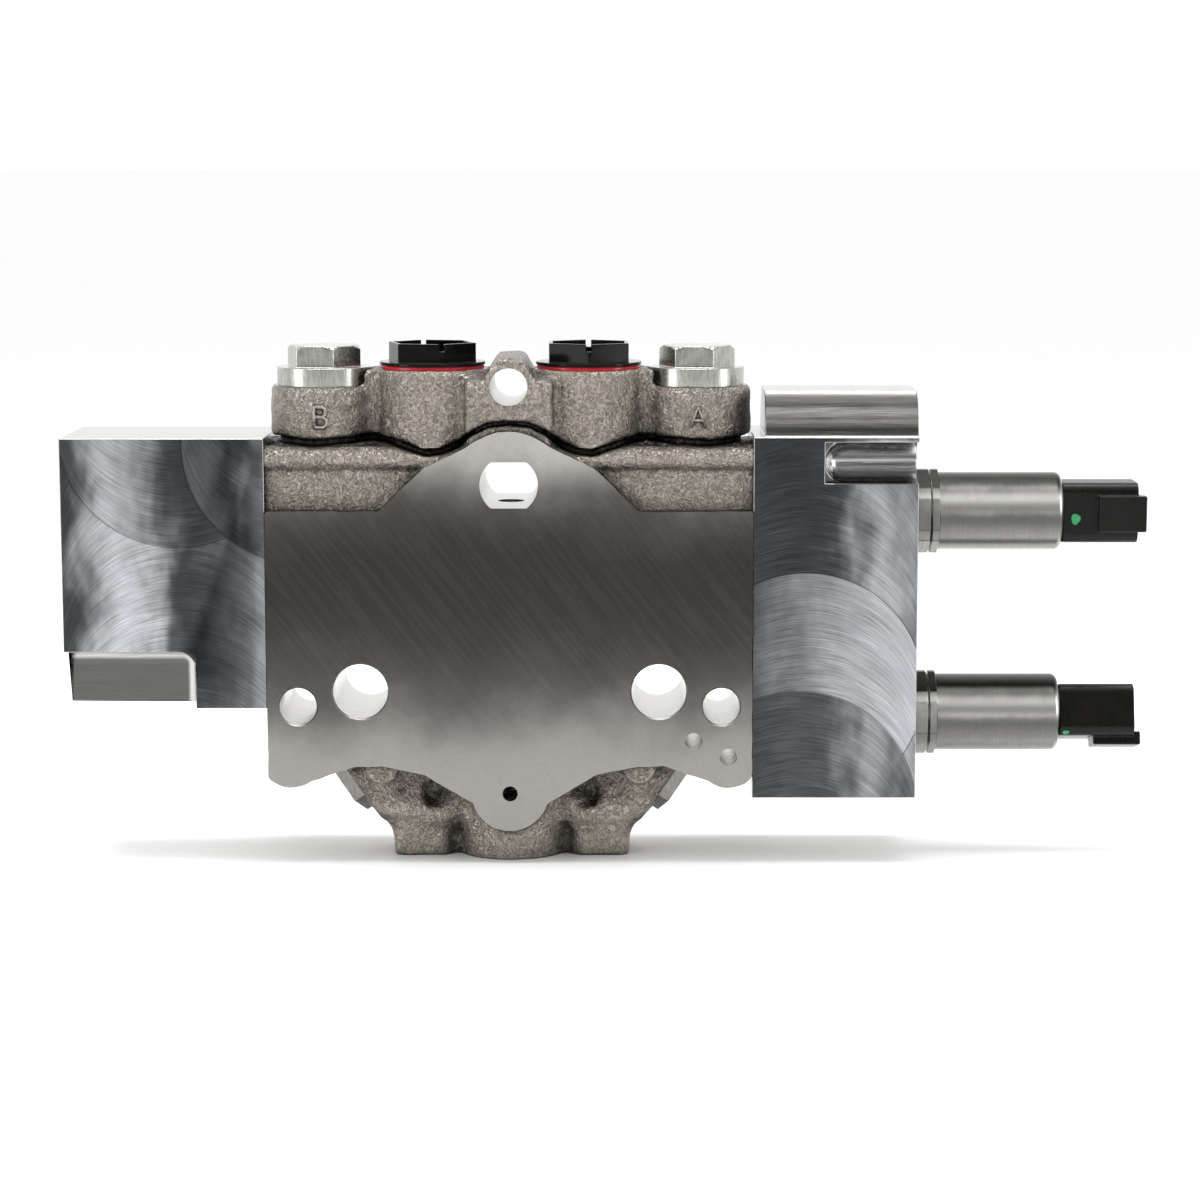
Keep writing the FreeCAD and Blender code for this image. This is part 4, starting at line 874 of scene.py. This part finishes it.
def milled(name, passes):
    """A face-milled cover: crossing cutter arcs with painted reflection on its broad faces, straight bands elsewhere,
    painted shade on flat faces in its recesses, and bands of painted reflection on the crown and in the channel.
    """
    paint = Paint(name)
    paint.plain(Metallic=1.0)
    x, y, z = paint.parts()
    colour, lines = None, None
    for (centre, stop), side, stops in passes:
        tone, fine = mill_pass(paint, x, z, centre, side, stops)
        if colour is None:
            colour, lines = tone, fine
            continue
        aside = paint.math("SUBTRACT", x, centre)
        away = paint.vector(aside, paint.math("SUBTRACT", z, stop), 0.0)
        reach = paint.add("ShaderNodeVectorMath", {0: away}, operation="LENGTH").outputs["Value"]
        inside = paint.ramp(reach, MILL_RADIUS - 0.35, MILL_RADIUS, 1, 0)
        rim = paint.math("COMPARE", reach, MILL_RADIUS, 0.22)
        colour = paint.mix(inside, colour, tone)
        colour = paint.mix(paint.times(rim, 0.45), colour, (0.02, 0.02, 0.022))
        chosen = paint.add("ShaderNodeMix", {0: inside, 2: lines, 3: fine})
        lines = chosen.outputs[0]
    sideways, front, _ = paint.faces()
    front = paint.math("ABSOLUTE", front)
    flat = paint.ramp(front, 0.9, 0.97, 0, 1)
    depth = paint.math("ABSOLUTE", paint.math("SUBTRACT", y, MID))
    plate = paint.times(flat, paint.math("GREATER_THAN", depth, MID - 1.2))
    cuts = paint.grain((11, 0.30, 0.30), 3.0, 0.65)
    ends = paint.grain((0.3, 0.4, 6), 3.0, 0.6)
    side_lines = paint.ramp(cuts, 0.34, 0.66, 0, 1)
    side_tone = paint.mix(side_lines, (0.36, 0.36, 0.345), (0.54, 0.535, 0.515))
    end_tone = paint.mix(paint.ramp(ends, 0.34, 0.66, 0, 1), (0.30, 0.305, 0.31), (0.48, 0.485, 0.49))
    across = paint.ramp(paint.math("ABSOLUTE", sideways), 0.6, 0.8, 0, 1)
    walls = paint.mix(across, side_tone, end_tone)
    # Painted shade: flat faces inside the cover's recesses are made nearly black.
    shaded = paint.mix(paint.times(flat, 0.86), walls, (0.05, 0.05, 0.05))
    ragged = paint.ramp(cuts, 0.3, 0.7, 0.65, 1.4)
    # Painted reflection: bands by height on the crown's front faces.
    crown = paint.math("GREATER_THAN", z, CROWN_SHOULDER)
    crown = paint.times(paint.ramp(front, 0.25, 0.45, 0, 1), crown)
    bands = paint.levels(z, CROWN_BANDS, (1.0, 0.975, 0.93))
    shaded = paint.mix(crown, shaded, paint.scaled(bands, ragged))
    # Painted reflection: bands by height in the channel.
    channel = paint.math("GREATER_THAN", x, CHANNEL_START)
    for operation, place, bound in (
        ("GREATER_THAN", z, CHANNEL_LOW), ("LESS_THAN", z, CHANNEL_HIGH), ("LESS_THAN", across, 0.5),
    ):
        channel = paint.times(channel, paint.math(operation, place, bound))
    bands = paint.levels(z, CHANNEL_BANDS, (1.0, 1.0, 0.99))
    shaded = paint.mix(channel, shaded, paint.scaled(bands, ragged))
    mixed = paint.mix(plate, shaded, colour)
    blur = paint.ramp(lines, 0.3, 0.7, 0.42, 0.30)
    smooth = paint.ramp(cuts, 0.3, 0.7, 0.20, 0.28)
    rough = paint.add("ShaderNodeMix", {0: plate, 2: smooth, 3: blur}).outputs[0]
    return paint.use(mixed, rough, [(lines, 0.02, 0.35), (cuts, 0.012, 0.25)])


def milled_aluminium():
    return milled("milled_aluminium", LEFT_PASSES)


def milled_aluminium_right():
    return milled("milled_aluminium_right", RIGHT_PASSES)


PAINTS = {}


def paint_for(name):
    """Each material is made once, from its table or by the function of that name."""
    if name not in PAINTS:
        if name in BRUSHED:
            PAINTS[name] = brushed(name, *BRUSHED[name])
        elif name in MOULDED:
            PAINTS[name] = moulded(name, *MOULDED[name])
        else:
            PAINTS[name] = globals()[name]()
    return PAINTS[name]


# Housing -----------------------------------------

# Lower edge of the bosses where they overhang the front plate, as (side, height) from the middle.
BOSS_EDGE = [
    (0, 45.1), (6, 44.6), (11, 42.4), (15, 39.1), (20, 37.1), (25, 36.6), (30, 38.1), (35, 39.6),
    (41, 40.5), (48, 39.9), (60, 39.3), (68, 39.9), (75, 40.4),
]
THROUGH_Y = (-5, DEPTH + 5)


def face_outline():
    """The ground face's outer outline, read from the frame's housing."""
    mesh = NODES["housing"].data
    flat = {v.index for v in mesh.vertices if abs(v.co.y) < CORNER}
    uses = {}
    for face in mesh.polygons:
        if all(v in flat for v in face.vertices):
            for edge in face.edge_keys:
                places = tuple(sorted(tuple(round(c / MM, 3) for c in mesh.vertices[v].co) for v in edge))
                uses[places] = uses.get(places, 0) + 1
    after = {}
    for (a, b), count in uses.items():
        if count == 1:
            after.setdefault(a, []).append(b)
            after.setdefault(b, []).append(a)
    start = max(after, key=lambda place: place[2])
    loop = [start]
    last = None
    while True:
        here = loop[-1]
        step = [place for place in after[here] if place != last][0]
        if step == start:
            return [(x, z) for x, y, z in loop]
        last = here
        loop.append(step)


def smooth_noise(shape, cells, seed):
    """Even random bumps about the given number of cells wide, from -1 to 1."""
    coarse = [max(2, int(size / cells) + 2) for size in shape]
    lattice = np.random.default_rng(seed).uniform(-1, 1, coarse).astype(np.float32)
    for axis, size in enumerate(shape):
        place = np.arange(size) / cells
        low = place.astype(int)
        share = place - low
        share = share * share * (3 - 2 * share)
        share = share.reshape([-1 if n == axis else 1 for n in range(3)]).astype(np.float32)
        below = np.take(lattice, low, axis)
        above = np.take(lattice, np.minimum(low + 1, lattice.shape[axis] - 1), axis)
        lattice = below + (above - below) * share
    return lattice


def boss_cluster(grid):
    """Bosses of the work ports and cavities, the webs between them and the middle lug."""
    cluster = round_box(grid, (-CAVITY_SIDE, 14, 30), (CAVITY_SIDE, DEPTH - 14, 53.5), 2)
    for sign in (-1, 1):
        port = (sign * PORT_SIDE, MID)
        boss = rod(grid, (*port, 28), (*port, PORT_TOP + 0.6), 18.2, 17.8, 1.6)
        cluster = blend_min(cluster, boss, 1.6)
        near, far = sorted((sign * PORT_SIDE, sign * CAVITY_SIDE))
        shoulder = round_box(grid, (near, 13, 36), (far, DEPTH - 13, PORT_TOP + 0.4), 1.5)
        spot = rod(grid, (sign * CAVITY_SIDE, MID, CAVITY_TOP), (sign * CAVITY_SIDE, MID, 75), 15.4)
        cluster = blend_min(cluster, blend_max(shoulder, -spot, 0.8), 1.2)
        cavity = (sign * CAVITY_SIDE, MID)
        boss = rod(grid, (*cavity, 28), (*cavity, CAVITY_TOP + 0.5), 16.6, 16.1, 2.2)
        cluster = blend_min(cluster, boss, 1.4)
        for front in (13.2, DEPTH - 13.2):
            seam = rod(grid, (sign * 40.8, front, 38), (sign * 40.8, front + 0.8 * (MID > front), 57), 1.1)
            cluster = blend_min(cluster, seam, 1.0)
    lug = round_box(grid, (-13, 3.2, 30), (13, DEPTH - 3.2, 57.5), 1.5)
    x, z = np.abs(grid[0]), grid[2]
    slope = (x - 3.95) * 0.86 + (z - 63.9) * 0.51
    peak = blend_max(round_box(grid, (-14, 2.9, 50), (14, DEPTH - 2.9, 63.9), 0.8), slope, 1.0)
    return blend_min(blend_min(cluster, lug, 3.5), peak, 1.0)


def front_plate(grid, loop):
    """The ground slab, the recessed panel and the round ridge above it."""
    slab = blend_max(outline_field(grid, loop), np.abs(grid[1] - MID) - MID - STEP * 2.5, 0.5)
    panel = round_box(grid, (-74, 3.3, 10), (74, DEPTH - 3.3, 37.2), 1.2)
    plate = blend_min(slab, panel, 1.2)
    for side in (4.6, DEPTH - 4.6):
        ridge = rod(grid, (-74, side, 34.0), (74, side, 34.0), 3.6)
        plate = blend_min(plate, ridge, 1.0)
    return plate


def undercut(grid):
    """The groove that runs below the bosses and round the peak of the ground face."""
    x = np.abs(grid[0])
    edge = np.interp(x, [side for side, _ in BOSS_EDGE], [height for _, height in BOSS_EDGE])
    edge = edge.astype(np.float32)
    half = np.clip(1.2 - 0.06 * (edge - 35), 0.65, 1.0)
    return edge, half


def foot(grid):
    """Round middle boss with a pad on each side, flaring up to the hips under the slab."""
    made = rod(grid, (0, MID, FOOT_BASE - 2), (0, MID, -45), 16.8, 17.4, 1.2)
    core = round_box(grid, (-30, 16, FOOT_BASE - 2), (30, DEPTH - 16, -70), 2)
    made = blend_min(made, core, 2.5)
    for sign in (-1, 1):
        near, far = sorted((sign * 18.6, sign * 36.2))
        pad = round_box(grid, (near, 11.6, FOOT_BASE - 2), (far, DEPTH - 11.6, -70), 3.4)
        pad = blend_max(pad, (np.abs(grid[0]) - 36.2) * 0.95 - (grid[2] + 88.8) * 0.31, 1.5)
        made = blend_min(made, pad, 4.0)
        near, far = sorted((sign * 14, sign * 44))
        flank = round_box(grid, (near, 10.5, -78), (far, DEPTH - 10.5, -45), 5)
        lean = (np.abs(grid[0]) - 41.6) * 0.80 - (grid[2] + 75.8) * 0.60
        flank = blend_max(flank, lean, 2.0)
        made = blend_min(made, flank, 6.5)
        tilt = math.radians(34)
        way = Vector((sign * math.cos(tilt), 0, -math.sin(tilt)))
        end = Vector((sign * 47.7, MID, -65.5))
        boss = rod(grid, end - way * 17, end, 12.2, 11.9, 0.8)
        made = blend_min(made, boss, 3.0)
        for front in (4.0, DEPTH - 4.0):
            mark = rod(grid, (sign * 39, front, -60.5), (sign * 39, MID, -60.5), 4.8, rounding=0.5)
            made = blend_min(made, mark, 1.2)
            deep = front + 0.4 * (MID - front)
            scoop = rod(grid, (sign * 25, front, -66), (sign * 20.5, deep, -70), 5.2, rounding=3)
            made = blend_max(made, -scoop, 1.6)
    return made


def casting():
    """The rough casting, without its machined faces and holes."""
    grid, origin = field_grid((-76, -3.5, -93), (76, DEPTH + 3.5, 67))
    loop = face_outline()
    cluster = boss_cluster(grid)
    plate = front_plate(grid, loop)
    edge, half = undercut(grid)
    groove = np.abs(grid[2] - edge + half) - half
    behind = -cluster - 3.0
    upper = blend_max(cluster, (edge - 2 * half - 3) - grid[2], 1.0)
    groove = blend_max(groove, behind, 1.0)
    whole = blend_min(plate, upper, 1.0)
    whole = blend_max(whole, -groove, 1.1)
    whole = blend_min(whole, foot(grid), 2.6)
    rough = 0.16 * smooth_noise(whole.shape, 5.3, 3) + 0.13 * smooth_noise(whole.shape, 2.4, 4)
    return surface_mesh((whole + rough).astype(np.float32), origin, "housing_casting")


def ring_cutter(middle, centre, material):
    """A washer-shaped solid that cuts a seal groove into the rear face."""
    x, z = middle
    floor = DEPTH - 2 * RING_SECTION
    cutter = drill(centre + RING_SECTION, (x, floor, z), (x, DEPTH + 1, z), "groove", material)
    core = drill(centre - RING_SECTION, (x, DEPTH - 3, z), (x, DEPTH + 2, z), "core", material)
    return combine(cutter, [core])


# Port letters as strokes on the cavity bosses, in millimetres from the letter's middle.
LETTER_STROKES = {
    "A": [[(-2.1, -3), (0, 3), (2.1, -3)], [(-1.35, -0.9), (1.35, -0.9)]],
    "B": [
        [(-1.7, -3), (-1.7, 3), (0.7, 3), (1.6, 2.4), (1.6, 0.8), (0.8, 0.1), (-1.7, 0.1)],
        [(0.8, 0.1), (1.9, -0.6), (1.9, -2.3), (0.9, -3), (-1.7, -3)],
    ],
}
LETTER_HEIGHT = 46.2
LETTER_RADIUS = 16.5  # where the strokes' middle lies on the boss
STROKE_RADIUS = 0.62


def letter_strokes(letter, sign):
    """Round raised strokes that follow the boss, ready to be joined to the casting."""
    curve = bpy.data.curves.new(f"letter_{letter}", "CURVE")
    curve.dimensions = "3D"
    curve.bevel_depth = STROKE_RADIUS * MM
    curve.bevel_resolution = 3
    curve.use_fill_caps = True
    for stroke in LETTER_STROKES[letter]:
        line = curve.splines.new("POLY")
        line.points.add(len(stroke) - 1)
        for point, (aside, up) in zip(line.points, stroke):
            turn = aside / LETTER_RADIUS
            x = sign * CAVITY_SIDE + LETTER_RADIUS * math.sin(turn)
            y = MID - LETTER_RADIUS * math.cos(turn)
            point.co = (x * MM, y * MM, (LETTER_HEIGHT + up) * MM, 1)
    maker = add_object(curve.name, curve)
    graph = bpy.context.evaluated_depsgraph_get()
    shape = bmesh.new()
    shape.from_mesh(bpy.data.meshes.new_from_object(maker.evaluated_get(graph)))
    bpy.data.objects.remove(maker)
    bmesh.ops.remove_doubles(shape, verts=shape.verts, dist=CORNER)
    bmesh.ops.recalc_face_normals(shape, faces=shape.faces)
    return link_mesh(f"letter_{letter}", shape, paint_for("cast_iron"))


# Holes through the housing's broad faces, as (x, z, radius).
TOP_HOLE = [(0, 55.4, 5.6)]
TIE_HOLES = [(-63.7, -40.6, 5.6), (63.7, -40.6, 5.6)]
TANK_HOLES = [(-44.9, -36, 8.25), (44.9, -36, 8.25)]
PILOT_HOLES = [(55.4, -51.3, 2.6), (65.9, -56, 2.6)]
SLOT_RADIUS = 8.7
SLOT_HALF = 6.9
SLOT_HEIGHT = 26.3
SHUTTLE_HEIGHT = -67.3
# Galleries round the spool, as (middle along X, width).
CORES = [(0, 9), (-15, 5), (15, 5), (-29, 9), (29, 9), (-50, 9), (50, 9)]
# Seal grooves of the rear face, as (x, z, radius of the ring's middle).
GROOVES = [
    (0, SLOT_HEIGHT, 11.6), (-44.9, -36, 10.4), (44.9, -36, 10.4), (0, SHUTTLE_HEIGHT, 6.2),
    (55.4, -51.3, 4.4), (65.9, -56, 4.4),
]


def housing():
    """The casting with its letters, ground flat on both sides, then bored and grooved."""
    item = casting()
    ground = paint_for("ground_iron")
    bored = paint_for("bored_steel")
    for letter, sign in (("B", -1), ("A", 1)):
        combine(item, [letter_strokes(letter, sign)], "UNION")
    top = 66
    limits = [(-HALF_WIDTH, FOOT_BASE), (HALF_WIDTH, FOOT_BASE), (HALF_WIDTH, top), (-HALF_WIDTH, top)]
    combine(item, [prism(limits, 0, DEPTH, "y", "stacking_faces", ground)], "INTERSECT")
    tools = []

    def bore(name, radius, start, end, end_radius=None):
        tools.append(drill(radius, start, end, name, bored, end_radius))

    for x, z, radius in TOP_HOLE + TIE_HOLES + TANK_HOLES + PILOT_HOLES:
        bore("through", radius, (x, THROUGH_Y[0], z), (x, THROUGH_Y[1], z))
    for x, z, radius in TIE_HOLES + TANK_HOLES:
        bore("rim", radius + 0.45, (x, -0.01, z), (x, 0.6, z), radius - 0.01)
    slot = []
    for x, z in circle(SLOT_RADIUS, (0, SLOT_HEIGHT), 96):
        slot.append((x, min(max(z, SLOT_HEIGHT - SLOT_HALF), SLOT_HEIGHT + SLOT_HALF)))
    tools.append(prism(slot, *THROUGH_Y, "y", "pump_slot", bored))
    for sign in (-1, 1):
        port = (sign * PORT_SIDE, MID)
        cavity = (sign * CAVITY_SIDE, MID)
        bore("port", 10.45, (*port, 24), (*port, 70))
        bore("face", 17.0, (*port, PORT_TOP), (*port, 70))
        bore("cavity", 9.5, (*cavity, 24), (*cavity, 60))
        bore("spot", 15.0, (*cavity, CAVITY_TOP), (*cavity, 70))
    bore("spool_bore", 8.03, (-80, MID, 0), (80, MID, 0))
    for x, width in CORES:
        bore("core", 12, (x - width / 2, MID, 0), (x + width / 2, MID, 0))
    bore("passage", 4, (0, MID, 10), (0, MID, 24))
    bore("piston_bore", 7.03, (0, MID, -80.5), (0, MID, -17.8))
    bore("passage", 4, (0, MID, -18), (0, MID, -10))
    bore("foot_bore", 10.95, (0, MID, -90), (0, MID, -80))
    bore("sensing", 2.3, (0, -5, SHUTTLE_HEIGHT), (0, MID, SHUTTLE_HEIGHT))
    bore("sensing", 1.6, (0, MID, SHUTTLE_HEIGHT), (0, 34, SHUTTLE_HEIGHT))
    bore("shuttle", 2.55, (0, 33, SHUTTLE_HEIGHT), (0, 41, SHUTTLE_HEIGHT))
    bore("shuttle", 4, (0, 40, SHUTTLE_HEIGHT), (0, 50, SHUTTLE_HEIGHT))
    for x, z, centre in GROOVES:
        tools.append(ring_cutter((x, z), centre, bored))
    for tool in tools:
        combine(item, [tool])
    return hold(item, "block", "cast_iron", "housing")


# Pieces with the CAD's own shape, finished with rounded edges --------

SHARP_ANGLE = 34  # edges at least this sharp are shaded hard, in degrees
BEVEL_ANGLE = 25  # edges sharper than this are broken
FLAT_ANGLE = 0.8  # faces that turn less than this are joined before a bevel


def soften(item):
    """Smooth shading that keeps the piece's flat faces flat."""
    item.data.shade_smooth()
    item.data.set_sharp_from_angle(angle=math.radians(SHARP_ANGLE))
    item.modifiers.new("normals", "WEIGHTED_NORMAL").keep_sharp = True
    apply_modifiers(item)
    return item


def repaint(item, paint):
    """Give a piece one material in place of those it has."""
    item.data.materials.clear()
    item.data.materials.append(paint_for(paint))
    return soften(item)


def node_copy(node):
    """A frame node's own closed shape, as a new piece."""
    shape = bmesh.new()
    shape.from_mesh(NODES[node].data)
    bmesh.ops.remove_doubles(shape, verts=shape.verts, dist=2 * CORNER)
    return link_mesh(f"{node}_piece", shape)


def bevelled(node, width, paint, slot, segments=2, item=None):
    """A copy of a frame node, or a piece for it, with edges broken by a width in millimetres."""
    item = item or node_copy(node)
    shape = bmesh.new()
    shape.from_mesh(item.data)
    flat = math.radians(FLAT_ANGLE)
    bmesh.ops.dissolve_limit(shape, angle_limit=flat, verts=shape.verts, edges=shape.edges)
    sharp = []
    for edge in shape.edges:
        if len(edge.link_faces) == 2 and edge.calc_face_angle(0) > math.radians(BEVEL_ANGLE):
            sharp.append(edge)
    bmesh.ops.bevel(
        shape, geom=sharp, offset=width * MM, segments=segments, profile=0.5, affect="EDGES"
    )
    low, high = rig.box(node)
    for vert in shape.verts:
        vert.co = [min(max(part, a), b) for part, a, b in zip(vert.co, low, high)]
    many = [face for face in shape.faces if len(face.verts) > 4]
    bmesh.ops.triangulate(shape, faces=many, ngon_method="BEAUTY")
    shape.to_mesh(item.data)
    shape.free()
    return hold(repaint(item, paint), "block", slot, node)


def block_tool(low, high, name, rounding=0):
    """A box between two corners in millimetres, with rounded edges when asked."""
    shape = bmesh.new()
    bmesh.ops.create_cube(shape, size=1)
    for vert in shape.verts:
        vert.co = [(a + b) / 2 * MM + part * (b - a) * MM for part, a, b in zip(vert.co, low, high)]
    if rounding:
        bmesh.ops.bevel(
            shape, geom=shape.edges[:], offset=rounding * MM, segments=8, profile=0.5, affect="EDGES"
        )
    return link_mesh(name, shape)


RELIEF_CORNER = (-94.3, 14.3, -24.2)  # inner corner of the left cover's relief
RELIEF_ROUND = 5.6


def left_cover():
    """The relief at the front foot is filled and cut again, with rounder corners."""
    low, _ = node_box("left_cover")
    item = node_copy("left_cover")
    combine(item, [block_tool(low, (-94, 15, -24), "filler")], "UNION")
    start = (low[0] - 20, -30, low[2] - 30)
    combine(item, [block_tool(start, RELIEF_CORNER, "cutter", RELIEF_ROUND)])
    bevelled("left_cover", 0.35, "milled_aluminium", "milled_aluminium", item=item)


def covers():
    left_cover()
    bevelled("right_cover", 0.35, "milled_aluminium_right", "milled_aluminium")
    for side in ("left", "right"):
        bevelled(f"{side}_cover_screws", 0.3, "black_oxide", "black_oxide")


def plugs():
    for letter in ("a", "b"):
        bevelled(f"port_plug_{letter}", 0.22, "gloss_black", "gloss_black")
        bevelled(f"port_gasket_{letter}", 0.45, "red_seal", "red_seal", 3)
        bevelled(f"cavity_plug_{letter}", 0.3, "zinc_steel", "zinc_steel")
    for side in ("left", "right"):
        bevelled(f"{side}_sensing_plug", 0.35, "dull_zinc", "zinc_steel")
    bevelled("compensator_plug", 0.35, "zinc_steel", "zinc_steel")


def cartridges():
    for place in ("upper", "lower"):
        bevelled(f"{place}_valve_body", 0.25, "nickel_steel", "nickel_steel")
        bevelled(f"{place}_solenoid_can", 0.2, "nickel_steel", "nickel_steel")
        bevelled(f"{place}_connector", 0.45, "connector_black", "connector_black", 3)


# Springs pressed one way: the node, its joint, the axis by number and the joint's travel.
ONE_WAY = [
    ("compensator_spring", "compensator_slide", 2, 6),
    ("upper_return_spring", "upper_plunger_slide", 0, 2),
    ("lower_return_spring", "lower_plunger_slide", 0, 2),
]


def springs():
    """One-way springs shorten towards the block, and centring springs follow the spool's seats."""
    for node, joint, axis, travel in ONE_WAY:
        low, high = node_box(node)
        item = hold(repaint(node_copy(node), "spring_steel"), "block", "spring_steel", node)
        way = Vector([float(place == axis) for place in range(3)])
        length = high[axis] - low[axis]
        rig.squash(item, joint, axis=way, anchor=low * MM, keep=(length - travel) / length)
    for side, outer, inner in (("left", 0, 1), ("right", 1, 0)):
        node = f"{side}_centring_spring"
        ends = node_box(node)
        item = repaint(node_copy(node), "spring_steel")
        start = (ends[outer][0] * MM, MID * MM, 0)
        end = (ends[inner][0] * MM, MID * MM, 0)
        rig.blend(item, "block", "spool", start=start, end=end)
        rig.replaces(item, node)
        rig.slot(item, "spring_steel")


# Dabs on the connectors: their middle in X and Z, the face they lie on and their half sizes.
PAINT_DOTS = {
    "upper": ((171.2, 14.6), 14.0, (1.35, 1.6)),
    "lower": ((169.2, -50.6), 11.95, (1.0, 0.6)),
}
DOT_CORNERS = 28


def paint_dots():
    """A thin dab of green inspection paint on each connector's shell."""
    for place, ((x, z), face, (wide, high)) in PAINT_DOTS.items():
        draws = np.random.default_rng(7)
        rim = []
        for n in range(DOT_CORNERS):
            turn = 2 * math.pi * n / DOT_CORNERS
            wobble = 1 + 0.10 * math.sin(3 * turn + 0.6) + draws.uniform(-0.04, 0.04)
            rim.append((x + wide * wobble * math.cos(turn), z + high * wobble * math.sin(turn)))
        name = f"{place}_paint_dot"
        dab = prism(rim, face - 0.12, face + 0.6, "y", name, paint_for("paint_dot"))
        hold(soften(dab), "block", "connector_black")


def finish_nodes():
    """Every frame node shows the paint of its own slot."""
    for row in frame["record"]["subparts"]:
        for place in NODES[row["node"]].material_slots:
            place.material = paint_for(row["material_slot"])


make_camera()
make_studio()
finish_nodes()
housing()
covers()
plugs()
cartridges()
springs()
paint_dots()
with open("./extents.json", "w") as out:
    json.dump({"cad": [list(c) for c in CAD_BOX], "visual": [list(c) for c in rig.bounds()]}, out)
